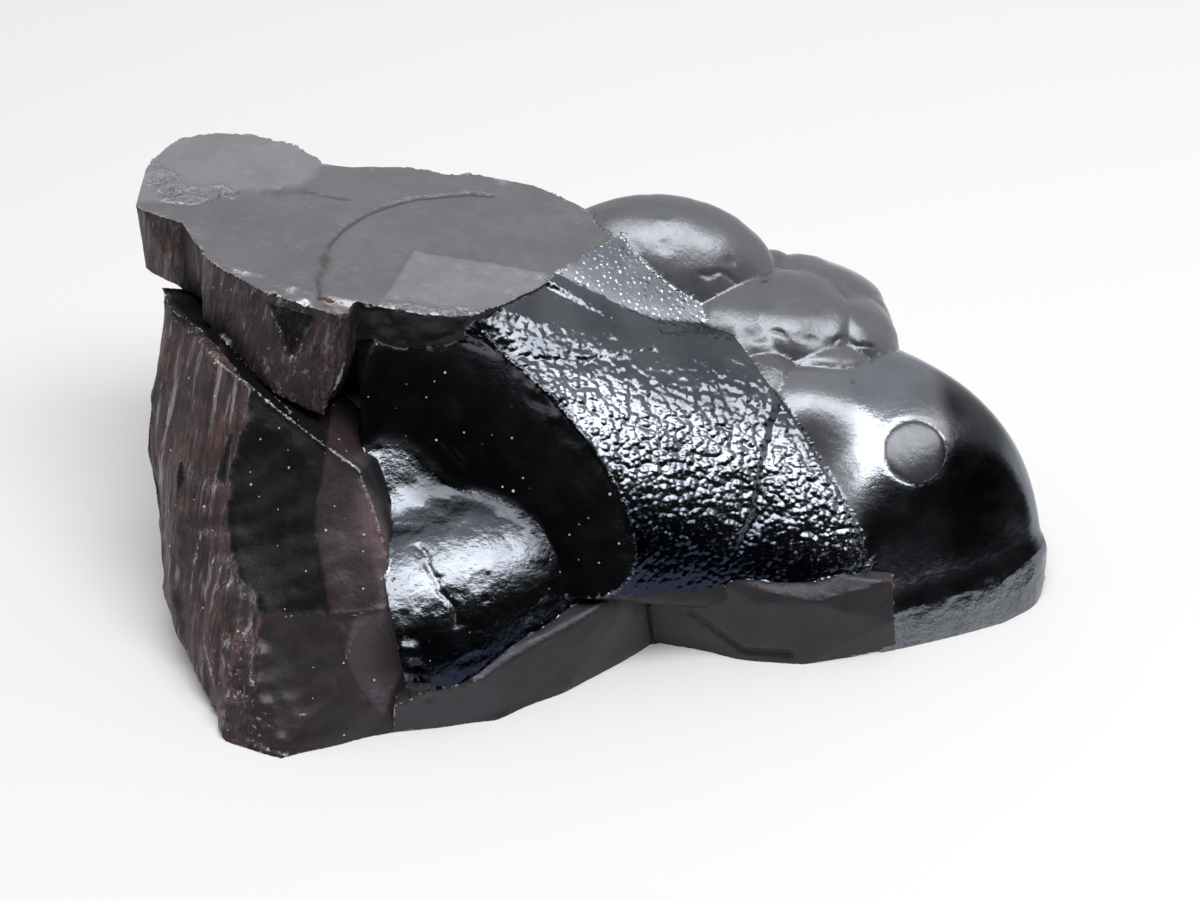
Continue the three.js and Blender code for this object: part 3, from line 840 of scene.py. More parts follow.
def relief(p, normals, region, inland, sizes):
    """Height of the fine relief in millimetres along the normal, region by region: bumps, noise, and
    ridges and grooves along lines. inland is how far a point is from the border of its region, so the
    relief fades out at creases."""
    faded = smooth(0, 0.7, inland)
    near = {name: (region == REGIONS.index(name)) * faded for name in REGIONS}
    x, y, z = p.T
    from_above, from_front, up = p[:, :2], p[:, [0, 2]], normals[:, 2]
    height = np.zeros(len(p))

    peel = near["skin"] * (1.15 - 0.55 * smooth(13, 8, z) - 0.4 * smooth(26, 28, z))
    peel += near["slant"] * (1.3 + 1.1 * beside(p, SLANT_FOOT, 3.5, 1.5))
    on = peel > 0
    height[on] += peel[on] * sizes.bump_height * (pebbles(p[on], sizes.bump_spacing, 5) - 0.5)

    crust = (near["skin"] + 0.5 * near["scoop"]) * beside(p, RIM, 2.4, 0.6)
    worn = near["dome"] + near["kidneys"] + near["rough"]
    grown = worn + near["big"]
    calm = near["dark"] + near["dome"] + near["big"] + near["kidneys"] + near["back"]
    foot = near["big"] * smooth(5, 2.5, z)
    scoop = near["scoop"] + near["dark"]
    flat = near["plate"] + near["plate_left"]
    top = flat * (up > 0.85)
    patch = top * within(from_above, PLATE_PATCH, -0.05, 0.15)
    patch_noise = patch * (0.06 + 0.22 * smooth(6, 2, y))
    corner = top * within(from_above, CORNER_FACET, -0.1, 0.3)
    corner_chips = corner * beside(p, CORNER_CHIPS, 2.2, 0.8)
    across_corner = stretched(p, (1, 0.25, 0), 3)
    on_left = on_left_face(p, normals)
    left_face, step = near["block"] * on_left, near["block"] * ~on_left
    fibrous = near["column"] + left_face + 0.7 * near["plate_left"] * (up < 0.6)
    drawn = along_fibres(p, region)
    broken = near["block"] + near["walls"] + 2.5 * (near["core"] + near["buttress"])
    brow = near["plate"] * (up < 0.6) * smooth(-24, -22, x)

    for where, place, *layers in (
        (near["skin"], p, (0.1, 5.0, 31)),
        (crust, p, (0.24, 1.1, 41), (0.16, 2.3, 42)),
        (calm, p, (0.06, 6.0, 32)),
        (worn, p, (0.03, 2.2, 43)),
        (near["kidneys"], p, (0.22, 3.2, 58)),
        (foot, p, (0.12, 1.2, 59), (0.12, 2.8, 60)),
        (near["scoop"], p, (0.05, 2.4, 63)),
        (flat, p, (0.05, 5.0, 33), (0.012, 1.6, 34)),
        (patch_noise, p, (1.0, 0.9, 45)),
        (corner, across_corner, (0.14, 1.7, 46)),
        (corner, p, (0.05, 0.8, 47)),
        (corner_chips, across_corner, (0.4, 1.2, 48)),
        (top * beside(p, PLATE_BROW, 1.6, 0.3), p, (0.14, 0.8, 54)),
        (fibrous, drawn, (0.3, 1.6, 35), (0.14, 0.7, 36)),
        (near["column"] + left_face, drawn, (0.4, 3.2, 62)),
        (broken, p, (0.12, 3.5, 37), (0.03, 1.1, 38)),
        (near["back"], p, (0.15, 3.0, 64), (0.04, 0.9, 65)),
        (near["block"] * beside(p, NEAR_CORNER, 4.5, 1.5), p, (0.4, 1.3, 50), (0.35, 2.6, 52)),
        (beside(p, GAP_FOOT, 1.8, 0.5), p, (0.4, 1.1, 53)),
        (near["rough"], p, (0.1, 0.9, 39)),
        (brow, p, (0.25, 1.5, 56), (0.1, 0.8, 57)),
    ):
        height += where * waves(place, *layers)

    for tall, where, line, *reach in (
        (-0.35, near["skin"], SKIN_CREASE, 0.9),
        (-0.16, 1, ZIGZAG, 0.45, 0.1),
        (0.18, scoop, FLOW_HIGH, 0.6),
        (0.14, scoop, FLOW_LOW, 0.6),
        (-0.3, near["walls"], WALL_SEAM, 0.6, 0.1),
        (0.1, near["block"], BLOCK_RIDGE, 0.5),
        (0.15, near["block"], CREST, 0.5, 0.1),
    ):
        height += tall * where * beside(p, line, *reach)

    from_scar = np.linalg.norm(p - SCAR_MIDDLE, axis=1)
    height += 0.05 * near["big"] * smooth(SCAR_RADIUS + 0.15, SCAR_RADIUS - 0.15, from_scar)
    height -= 0.09 * near["big"] * smooth(0.45, 0.0, np.abs(from_scar - SCAR_RADIUS))
    height -= 0.16 * grown * smooth(0.4, 0.0, creases(p))
    height -= 0.16 * top * smooth(0.45, 0.05, cracks(p))
    height -= 0.05 * worn * smooth(0.35, 0.7, lattice_noise(p, 1.7, 44))
    height -= 0.05 * near["dark"] * smooth(0.2, 0.6, lattice_noise(p, 1.1, 61))
    height -= 0.55 * near["column"] * within(from_front, BLACK_FACET, -0.1, 0.25)
    height += 0.12 * step * within(from_front, BROWN_SIDE, -0.1, 0.1)
    height += 0.14 * step * within(from_front, PALE_FACET, -0.1, 0.1)
    height += 0.09 * patch
    ring = np.linalg.norm(p - RIPPLE_HEART, axis=1) + 1.2 * lattice_noise(p, 5.0, 49)
    height += 0.05 * near["block"] * np.sin(ring * 2.4) * smooth(-23, -29, x)
    return height


def gathered(p, is_in, table):
    """The likelihood of flecks that gather at lines: the greatest that any row of the table gives."""
    return np.maximum.reduce([
        amount * is_in.get(name, 1) * beside(p, line, *reach) for amount, name, line, *reach in table
    ])


def marks(p, normals, region, sharp):
    """What the finishes read at each vertex: shade, which the colour is multiplied by, partly the stone's
    own tone and partly painted shade and painted highlights; brown, how liver brown a break is; wear, how
    satin grown skin is; navy, how strongly the darkest grown skin is tinted blue, as a painted dark
    reflection; pitted, how coarse the finest relief is; rust and pale, how likely a rusty or a pale fleck
    is, the pale ones partly chipped edges and partly painted edge highlights; dust, how likely a white
    speck is. sharp is how sharply the mesh is creased outwards."""
    is_in = {name: (region == REGIONS.index(name)).astype(float) for name in REGIONS}
    x, y, z = p.T
    from_above, from_front, up = p[:, :2], p[:, [0, 2]], normals[:, 2]
    level = z + 0.38 * (x - 6)  # height above a plane that falls to the right, as the skin's bands do
    kidneys = is_in["kidneys"] + is_in["dome"] + is_in["rough"]
    tops = (is_in["plate"] + is_in["plate_left"] + is_in["column"]) * (up > 0.8)
    patch = within(from_above, PLATE_PATCH, -0.05, 0.15)
    corner = within(from_above, CORNER_FACET, -0.1, 0.3)
    left_face = is_in["block"] * on_left_face(p, normals)
    front = is_in["block"] - left_face
    upright = front * smooth(0.0, 0.4, z - 9.8 - 0.09 * (x + 29))
    brown_side = front * within(from_front, BROWN_SIDE, -0.1, 0.15)
    pale_facet = front * within(from_front, PALE_FACET, -0.1, 0.15)
    from_rim = from_line(p, RIM)
    at_rim = smooth(2.6, 0.4, -make_bowl()(p)) * smooth(-21, -17, x)
    from_scar = np.linalg.norm(p - SCAR_MIDDLE, axis=1)
    scar = is_in["big"] * smooth(SCAR_RADIUS + 0.1, SCAR_RADIUS - 0.1, from_scar)
    above_scar = is_in["big"] * smooth(4.5, 2.0, np.linalg.norm(p - ABOVE_SCAR, axis=1))
    right = is_in["big"] * smooth(33.5, 36, x) * smooth(43, 40, x)
    foot = is_in["big"] * smooth(5, 2, z)

    shade = 1 - tops * (0.2 + 0.25 * (1 - np.maximum(patch, corner)))
    # painted shade: the scoop of the hollow is darkened as a recess in shade
    shade -= 0.5 * is_in["scoop"]
    # the dark lobe is darker all over; painted shade at its foot and along the rim where it rises from the
    # scoop
    shade -= is_in["dark"] * (0.35 + 0.45 * np.maximum(smooth(11, 7, z), at_rim))
    # painted shade: the skin lobe is darkened along its top and more over its lower part, standing in for
    # the dark reflections there
    shade -= is_in["skin"] * (0.45 * smooth(21.5, 23.5, level) + 0.8 * smooth(19, 14.5, level))
    shade -= 0.5 * is_in["skin"] * smooth(1.6, 0.6, from_rim)
    # painted highlight: the slanting facet is lightened, most along its foot
    shade += is_in["slant"] * (0.5 + 0.9 * beside(p, SLANT_FOOT, 3.5, 1.5))
    # painted shade in the creases between the kidneys
    shade -= 0.7 * (kidneys + is_in["big"]) * smooth(0.3, 0.0, creases(p))
    shade -= 0.3 * is_in["rough"] + 0.15 * is_in["dome"] + 0.15 * is_in["kidneys"]
    # the scar is darker in its own colour; painted shade on the place over the scar and in a band at the
    # big kidney's right; a painted reflection lightens its foot
    shade -= 0.5 * scar + 0.25 * above_scar * (1 - scar) + 0.7 * right * smooth(5, 8, z) - 0.2 * foot
    shade -= 0.85 * is_in["column"] * within(from_front, BLACK_FACET, -0.1, 0.25)
    shade -= 0.45 * is_in["plate"] * (up < 0.6)
    shade += 0.2 * front * (1 - upright) - 0.75 * upright * (1 - brown_side) + 1.1 * pale_facet
    shade += 2.2 * front * beside(p, BESIDE_BLOCK, 2.2, 0.2) + 0.5 * left_face
    shade += is_in["walls"] * (0.6 * smooth(-8, -12, x) - 0.5 * beside(p, WALL_SEAM, 0.5, 0.1) + 0.1)

    # painted blue: the dark lobe's foot and the skin lobe's lower part are tinted blue, standing in for a
    # dark bluish reflection
    painted_navy = 0.8 * is_in["dark"] * smooth(10, 6, z) + 0.8 * is_in["skin"] * smooth(18, 13, level)
    brown = np.maximum.reduce([
        brown_side, 0.35 * is_in["block"], 0.7 * tops * smooth(0.35, 0.05, cracks(p)),
        0.15 * is_in["walls"], 0.5 * is_in["buttress"] + 0.5 * is_in["core"],
    ])
    chips = corner * beside(p, CORNER_CHIPS, 2.2, 0.8)
    pitted = tops * np.maximum(chips, patch * smooth(5, 3, y)) + foot + is_in["slant"]
    pitted += is_in["skin"] * (1 - 0.6 * smooth(21.5, 24, level))
    pitted += 0.12 * is_in["dark"] + 0.3 * is_in["back"] + 0.3 * is_in["rough"]
    crown = is_in["big"] * np.maximum(0.5 * smooth(0.9, 0.97, up), 0.9 * smooth(26.5, 24.5, x))
    wear = np.maximum.reduce([
        kidneys + 0.35 * is_in["back"] + crown, 0.8 * scar, above_scar,
        0.6 * is_in["big"] * smooth(3.2, 1.8, z),
    ])
    rust = np.maximum(gathered(p, is_in, RUSTY), 0.3 * is_in["buttress"] + 0.25 * is_in["core"])
    broken = is_in["plate"] + is_in["plate_left"] + is_in["column"] + is_in["block"] + is_in["walls"]
    at_facet = smooth(0.4, 0.1, np.abs(depth_inside(from_front, BLACK_FACET)))
    # pale flecks: partly the paler colour of chipped edges, partly painted highlights along crests, rims
    # and sharp edges; the scar's ring is its own pale colour
    pale = np.maximum.reduce([
        gathered(p, is_in, CHIPS_AND_PAINTED_HIGHLIGHTS),
        0.8 * (broken + is_in["rough"]) * smooth(0.5, 1, sharp),
        0.35 * is_in["plate"] * (up < 0.6) * smooth(-24, -22, x),
        0.5 * is_in["column"] * at_facet,
        0.9 * is_in["big"] * smooth(0.3, 0.05, np.abs(from_scar - SCAR_RADIUS)),
        0.5 * smooth(0.5, 0.0, from_rim) * sharp,
        0.7 * is_in["scoop"] * smooth(0.25, 0.0, np.abs(from_rim - 2.6)),
    ])
    dust = is_in["scoop"] + 0.7 * (is_in["dark"] + is_in["block"]) + 0.4 * is_in["column"]
    return {
        "shade": shade, "brown": brown, "wear": wear, "rust": rust, "pale": pale, "dust": dust,
        "pitted": pitted, "painted_navy": painted_navy,
    }


FINISHES = ("polished", "peel", "satin", "dark_break", "fibrous")


def finish_of(p, normals, region):
    """Which finish each face has, from its region, its place and the way it faces: up is 1 for a face
    that looks straight up and 0 for an upright one."""
    is_in = {name: region == REGIONS.index(name) for name in REGIONS}
    up, low = normals[:, 2], p[:, 2] < 9
    grown = is_in["dark"] | is_in["scoop"] | is_in["dome"] | is_in["kidneys"] | is_in["big"]
    grown |= is_in["rough"] | is_in["back"]
    tops = (is_in["plate"] | is_in["plate_left"] | is_in["column"]) & (up > 0.6)
    ends = is_in["plate_left"] | is_in["plate"] & (p[:, 0] < -24)
    inner = is_in["column"] | is_in["buttress"] | is_in["core"]
    out = np.full(len(p), FINISHES.index("dark_break"))
    for where, finish in (
        (grown, "polished"),
        (is_in["slant"] | is_in["skin"], "peel"),
        ((is_in["dark"] | is_in["skin"]) & (up < 0.25) & low, "dark_break"),
        (tops, "satin"),
        (ends & (up <= 0.6) & (normals[:, 1] < 0.3), "fibrous"),
        (inner & (up <= 0.6) | is_in["block"] & on_left_face(p, normals), "fibrous"),
    ):
        out[where] = FINISHES.index(finish)
    return out


# ---------------------------------------------------------------- materials


def linear(colour):
    """An sRGB hex colour as linear red, green and blue with full alpha."""
    parts = [int(colour[n:n + 2], 16) / 255 for n in (1, 3, 5)]
    return [c / 12.92 if c <= 0.04045 else ((c + 0.055) / 1.055) ** 2.4 for c in parts] + [1.0]


def add_node(tree, kind, inputs=None, **settings):
    """Adds a node, sets it, and fills its inputs: a socket is linked, anything else is a value."""
    made = tree.nodes.new(kind)
    for name, value in settings.items():
        setattr(made, name, value)
    for name, value in (inputs or {}).items():
        if isinstance(value, bpy.types.NodeSocket):
            tree.links.new(value, made.inputs[name])
        else:
            made.inputs[name].default_value = value
    return made


def new_material(name):
    """An empty node material, and a socket with the place on the stone in its own millimetres."""
    material = bpy.data.materials.new(name)
    material.use_nodes = True
    tree = material.node_tree
    tree.nodes.clear()
    place = add_node(tree, "ShaderNodeTexCoord").outputs["Object"]
    millimetres = add_node(
        tree, "ShaderNodeVectorMath", {0: place, 1: (1 / MM,) * 3, 2: tuple(FOOT_MIDDLE)},
        operation="MULTIPLY_ADD",
    ).outputs[0]
    return material, tree, millimetres


def mottled(tree, place, size, low, high, at_low, at_high):
    """A number that wanders over the stone: noise with features of a size in millimetres, mapped from
    low..high to at_low..at_high."""
    noise = add_node(
        tree, "ShaderNodeTexNoise",
        {"Vector": place, "Scale": 1 / size, "Detail": 4.0, "Roughness": 0.6},
    ).outputs["Fac"]
    return add_node(
        tree, "ShaderNodeMapRange",
        {"Value": noise, "From Min": low, "From Max": high, "To Min": at_low, "To Max": at_high},
        interpolation_type="SMOOTHSTEP",
    ).outputs[0]


def flecks(tree, place, mark, size, share):
    """Where flecks of a kind are: the mark's likelihood plus fine noise, cut off sharply."""
    noise = add_node(
        tree, "ShaderNodeTexNoise", {"Vector": place, "Scale": 1 / size, "Detail": 3.0, "Roughness": 0.7},
    ).outputs["Fac"]
    likely = add_node(tree, "ShaderNodeAttribute", attribute_name=mark).outputs["Fac"]
    both = add_node(
        tree, "ShaderNodeMath", {0: likely, 1: 0.6, 2: noise}, operation="MULTIPLY_ADD",
    ).outputs[0]
    cut = add_node(
        tree, "ShaderNodeMapRange", {"Value": both, "From Min": 1 - share, "From Max": 1.08 - share},
        interpolation_type="SMOOTHSTEP",
    ).outputs[0]
    some = add_node(tree, "ShaderNodeMath", {0: likely, 1: 0.05}, operation="GREATER_THAN").outputs[0]
    return add_node(tree, "ShaderNodeMath", {0: cut, 1: some}, operation="MULTIPLY").outputs[0]


def toned(tree, place, size, low, high, dark, light):
    """A dark colour and a light one that wander into each other over the stone."""
    tone = mottled(tree, place, size, low, high, 0, 1)
    return add_node(
        tree, "ShaderNodeMix", {0: tone, 6: linear(dark), 7: linear(light)}, data_type="RGBA",
    ).outputs[2]


def tinted(tree, colour, mark, tint):
    """A colour that turns to another where a mark is 1: to brown along cracks, and to blue in the
    darkest grown skin, which is a painted dark reflection.
    """
    share = add_node(tree, "ShaderNodeAttribute", attribute_name=mark).outputs["Fac"]
    return add_node(
        tree, "ShaderNodeMix", {0: share, 6: colour, 7: linear(tint)}, data_type="RGBA",
    ).outputs[2]


def coarsened(tree, place, size, times):
    """Fine grain as a height, and that many times higher again where the pitted mark is 1."""
    grain = mottled(tree, place, size, 0.2, 0.8, 0, 1)
    pitted = add_node(tree, "ShaderNodeAttribute", attribute_name="pitted").outputs["Fac"]
    coarser = add_node(
        tree, "ShaderNodeMath", {0: pitted, 1: times, 2: 1.0}, operation="MULTIPLY_ADD",
    ).outputs[0]
    return add_node(tree, "ShaderNodeMath", {0: grain, 1: coarser}, operation="MULTIPLY").outputs[0]


def white_dust(tree, place):
    """Where white specks are: a dot in some of the cells of a random pattern, bigger in some than in
    others, times the dust mark."""
    specks = add_node(
        tree, "ShaderNodeTexVoronoi", {"Vector": place, "Scale": 1 / 0.95, "Randomness": 1.0},
    )
    chosen = add_node(tree, "ShaderNodeSeparateColor", {0: specks.outputs["Color"]}).outputs[0]
    radius = add_node(
        tree, "ShaderNodeMapRange",
        {"Value": chosen, "From Min": 0.62, "From Max": 1.0, "To Min": 0.0, "To Max": 0.15},
    ).outputs[0]
    dotted = add_node(
        tree, "ShaderNodeMath", {0: specks.outputs["Distance"], 1: radius}, operation="LESS_THAN",
    ).outputs[0]
    likely = add_node(tree, "ShaderNodeAttribute", attribute_name="dust").outputs["Fac"]
    return add_node(tree, "ShaderNodeMath", {0: dotted, 1: likely}, operation="MULTIPLY").outputs[0]


def finish_stone(tree, place, look, colour, rough, height, distance, metallic):
    """Ends a finish: multiplies the colour by its shade mark, which holds painted shade and painted
    highlights as well as the stone's own tone; adds rusty flecks, chipped flecks, which also paint
    highlights along edges, and white dust; and links the shader. height, times distance in millimetres,
    is the finest relief."""
    # the shade mark: the stone's own tone with painted shade and painted highlights in it
    shade = add_node(tree, "ShaderNodeAttribute", attribute_name="shade").outputs["Fac"]
    colour = add_node(
        tree, "ShaderNodeVectorMath", {0: colour, "Scale": shade}, operation="SCALE",
    ).outputs[0]
    grain = add_node(tree, "ShaderNodeBump", {"Height": height, "Distance": distance * MM}).outputs[0]
    rust = flecks(tree, place, "rust", 0.6, 0.16)
    pale = flecks(tree, place, "pale", 0.5, 0.1)
    dust = white_dust(tree, place)
    for share, tint in ((pale, look.chip_and_highlight), (rust, look.rust), (dust, look.dust)):
        colour = add_node(
            tree, "ShaderNodeMix", {0: share, 6: colour, 7: linear(tint)}, data_type="RGBA",
        ).outputs[2]
    dull = add_node(tree, "ShaderNodeMath", {0: rust, 1: dust}, operation="MAXIMUM").outputs[0]
    metal = add_node(
        tree, "ShaderNodeMix", {0: dull, 2: metallic, 3: 0.0}, data_type="FLOAT",
    ).outputs[0]
    rough = add_node(tree, "ShaderNodeMix", {0: dull, 2: rough, 3: 0.8}, data_type="FLOAT").outputs[0]
    shader = add_node(
        tree, "ShaderNodeBsdfPrincipled",
        {"Base Color": colour, "Roughness": rough, "Metallic": metal, "Normal": grain},
    )
    add_node(tree, "ShaderNodeOutputMaterial", {"Surface": shader.outputs[0]})


def make_polished(look):
    """Grown skin of a kidney: smooth as glass and nearly black with sharp reflections, or worn to an
    even grey satin where wear is 1."""
    material, tree, place = new_material("grown_polished_hematite")
    colour = toned(tree, place, 9, 0.35, 0.65, look.polish_dark, look.polish_light)
    # painted blue: the darkest grown skin is tinted blue, standing in for a dark bluish reflection
    colour = tinted(tree, colour, "painted_navy", look.polish_painted_navy)
    wear = add_node(tree, "ShaderNodeAttribute", attribute_name="wear").outputs["Fac"]
    patchy = mottled(tree, place, 2.5, 0.35, 0.7, 0.75, 1.1)
    worn = add_node(tree, "ShaderNodeMath", {0: wear, 1: patchy}, operation="MULTIPLY").outputs[0]
    colour = add_node(
        tree, "ShaderNodeMix", {0: worn, 6: colour, 7: linear(look.worn)}, data_type="RGBA",
    ).outputs[2]
    glossy = mottled(tree, place, 3, 0.35, 0.75, 0.15, 0.24)
    rough = add_node(tree, "ShaderNodeMix", {0: worn, 2: glossy, 3: 0.3}, data_type="FLOAT").outputs[0]
    metallic = add_node(tree, "ShaderNodeMix", {0: worn, 2: 1.0, 3: 0.5}, data_type="FLOAT").outputs[0]
    height = coarsened(tree, place, 0.7, 9.0)
    finish_stone(tree, place, look, colour, rough, height, 0.015, metallic)
    return material


def make_peel(look):
    """Grown skin with orange-peel bumps about a millimetre apart, each with its own spark."""
    material, tree, place = new_material("orange_peel_hematite")
    cells = add_node(
        tree, "ShaderNodeTexVoronoi", {"Vector": place, "Scale": 1 / 0.62, "Smoothness": 0.5},
        feature="SMOOTH_F1",
    ).outputs["Distance"]
    fine = mottled(tree, place, 0.4, 0.2, 0.8, 0, 0.12)
    bumps = add_node(tree, "ShaderNodeMath", {0: fine, 1: cells}, operation="SUBTRACT").outputs[0]
    pitted = add_node(tree, "ShaderNodeAttribute", attribute_name="pitted").outputs["Fac"]
    height = add_node(tree, "ShaderNodeMath", {0: bumps, 1: pitted}, operation="MULTIPLY").outputs[0]
    colour = toned(tree, place, 7, 0.35, 0.65, look.polish_dark, look.polish_light)
    # painted blue: the darkest grown skin is tinted blue, standing in for a dark bluish reflection
    colour = tinted(tree, colour, "painted_navy", look.polish_painted_navy)
    rough = mottled(tree, place, 2, 0.3, 0.7, 0.12, 0.22)
    finish_stone(tree, place, look, colour, rough, height, 0.15, 1.0)
    return material


def make_satin(look):
    """A flat fracture: fine-grained, grey and satin, brown along its cracks and sparkling where it is
    chipped."""
    material, tree, place = new_material("satin_fracture_hematite")
    colour = toned(tree, place, 6, 0.3, 0.7, look.satin_dark, look.satin_light)
    colour = tinted(tree, colour, "brown", look.crack)
    dull = mottled(tree, place, 1.5, 0.3, 0.7, 0.32, 0.46)
    pitted = add_node(tree, "ShaderNodeAttribute", attribute_name="pitted").outputs["Fac"]
    rough = add_node(tree, "ShaderNodeMix", {0: pitted, 2: dull, 3: 0.2}, data_type="FLOAT").outputs[0]
    height = coarsened(tree, place, 0.6, 6.0)
    finish_stone(tree, place, look, colour, rough, height, 0.045, 0.9)
    return material


def make_dark_break(look):
    """A conchoidal break: nearly black, with long dull ripples and brown stains."""
    material, tree, place = new_material("dark_fracture_hematite")
    tone = mottled(tree, place, 4, 0.35, 0.65, 0.6, 1)
    likely = add_node(tree, "ShaderNodeAttribute", attribute_name="brown").outputs["Fac"]
    brown = add_node(tree, "ShaderNodeMath", {0: tone, 1: likely}, operation="MULTIPLY").outputs[0]
    colour = add_node(
        tree, "ShaderNodeMix", {0: brown, 6: linear(look.break_dark), 7: linear(look.break_brown)},
        data_type="RGBA",
    ).outputs[2]
    rough = mottled(tree, place, 2, 0.3, 0.7, 0.36, 0.5)
    grain = mottled(tree, place, 0.8, 0.2, 0.8, 0, 1)
    finish_stone(tree, place, look, colour, rough, grain, 0.03, 0.35)
    return material


def make_fibrous(look):
    """A break along the fibres: silky streaks, dark grey to liver brown."""
    material, tree, place = new_material("fibrous_fracture_hematite")
    drawn = add_node(tree, "ShaderNodeAttribute", attribute_name="fibres").outputs["Vector"]
    streak = mottled(tree, drawn, 0.55, 0.35, 0.65, 0, 1)
    patch = mottled(tree, place, 5, 0.4, 0.6, 0.2, 1)
    brown = add_node(tree, "ShaderNodeMath", {0: streak, 1: patch}, operation="MULTIPLY").outputs[0]
    colour = add_node(
        tree, "ShaderNodeMix", {0: brown, 6: linear(look.fibre_dark), 7: linear(look.fibre_brown)},
        data_type="RGBA",
    ).outputs[2]
    pale = mottled(tree, drawn, 0.8, 0.56, 0.7, 0, 0.8)
    colour = add_node(
        tree, "ShaderNodeMix", {0: pale, 6: colour, 7: linear(look.fibre_pale)}, data_type="RGBA",
    ).outputs[2]
    rough = mottled(tree, drawn, 0.5, 0.3, 0.7, 0.32, 0.55)
    finish_stone(tree, place, look, colour, rough, streak, 0.18, 0.5)
    return material


# ---------------------------------------------------------------- settings and operators


def colour_property(name, description, value):
    """A colour kept as sRGB hex text."""
    return bpy.props.StringProperty(name=name, description=description, default=value)


class HematiteSizes(bpy.types.PropertyGroup):
    """Sizes of the stone's relief and mesh."""

    cell: bpy.props.FloatProperty(
        name="Mesh cell", description="Grid spacing of the mesh, in millimetres", default=0.3, min=0.2,
    )
    triangles: bpy.props.IntProperty(
        name="Triangles", description="Triangles that the finished mesh is thinned to", default=190000,
    )
    bump_spacing: bpy.props.FloatProperty(
        name="Bump spacing", description="Distance between orange-peel bumps, in millimetres", default=1.0,
    )
    bump_height: bpy.props.FloatProperty(
        name="Bump height", description="Height of the orange-peel bumps, in millimetres", default=0.14,
    )


class HematiteLook(bpy.types.PropertyGroup):
    """Colours of the stone's finishes, as sRGB hex."""

    polish_dark: colour_property("Polished, dark", "Grown skin, darker", "#6e727a")
    polish_light: colour_property("Polished, light", "Grown skin, lighter", "#83878e")
    # colour of the painted blue reflection in the darkest grown skin
    polish_painted_navy: colour_property("Grown, deep", "Navy tint of grown skin in its deepest parts", "#5c6890")
    worn: colour_property("Worn", "Grown skin worn to satin", "#73757a")
    satin_dark: colour_property("Satin, dark", "Flat fracture, darker", "#a3a1a6")
    satin_light: colour_property("Satin, light", "Flat fracture, lighter", "#aeadb2")
    break_dark: colour_property("Break, dark", "Conchoidal fracture, darker", "#2d2c31")
    break_brown: colour_property("Break, brown", "Conchoidal fracture, browner", "#3f3335")
    fibre_dark: colour_property("Fibre, dark", "Fibrous fracture, darker", "#343034")
    fibre_brown: colour_property("Fibre, brown", "Fibrous fracture, browner", "#5d4846")
    fibre_pale: colour_property("Fibre, pale", "Pale streaks in the fibrous fracture", "#8d868c")
    crack: colour_property("Crack", "Lines of the cracks in the flat fracture", "#6a5c56")
    rust: colour_property("Rust", "Rusty flecks in the cracks", "#4c3324")
    # colour of chipped edges and of the painted highlights along edges
    chip_and_highlight: colour_property("Chips", "Chipped edges", "#a2a2a6")
    dust: colour_property("Dust", "White specks", "#d6d4cf")


class HematiteStudio(bpy.types.PropertyGroup):
    """The light and the floor."""

    strip_power: bpy.props.FloatProperty(
        name="Strip power", description="Power of the long overhead softbox", default=4.0, unit="POWER",
    )
    floor_colour: colour_property("Floor", "Colour of the floor", "#e4e4e3")
    backdrop_colour: colour_property("Backdrop", "What the camera sees behind the floor", "#e6e6e6")


def mark_mesh(mesh, stone, points, faces, region, cell):
    """Puts the marks on the mesh's vertices and the finishes on its faces."""
    normals = vertex_normals(points, faces)
    sharp = ridges(points, faces, normals, cell)
    for name, values in marks(points, normals, region, sharp).items():
        layer = mesh.attributes.new(name, "FLOAT", "POINT")
        layer.data.foreach_set("value", np.clip(values, 0, 3).astype(np.float32))
    layer = mesh.attributes.new("fibres", "FLOAT_VECTOR", "POINT")
    layer.data.foreach_set("vector", along_fibres(points, region).astype(np.float32).ravel())
    corners = points[faces]
    middles = corners.mean(1)
    face_normals = np.cross(corners[:, 2] - corners[:, 0], corners[:, 3] - corners[:, 1])
    face_normals /= np.linalg.norm(face_normals, axis=1)[:, None] + 1e-12
    finish = finish_of(middles, face_normals, stone.regions(middles)[0])
    mesh.polygons.foreach_set("material_index", finish.astype(np.int32))
    mesh.polygons.foreach_set("use_smooth", np.ones(len(faces), bool))


def thin_out(piece, context, triangles):
    """Collapses the edges that matter least until no more than that many triangles are left."""
    count = len(piece.data.loops) - 2 * len(piece.data.polygons)  # triangles that the faces split into
    if count > triangles:
        thin = piece.modifiers.new("thin", "DECIMATE")
        thin.ratio = triangles / count
        piece.data = bpy.data.meshes.new_from_object(
            piece.evaluated_get(context.evaluated_depsgraph_get()),
        )
        piece.modifiers.remove(thin)


def keep_in_box(mesh):
    """Moves the few vertices that relief has pushed out of the solid's box back to its sides."""
    places = np.empty(3 * len(mesh.vertices), np.float32)
    mesh.vertices.foreach_get("co", places)
    inside = np.clip(places.reshape(-1, 3), *np.array(CAD_BOX, np.float32))
    mesh.vertices.foreach_set("co", inside.ravel())


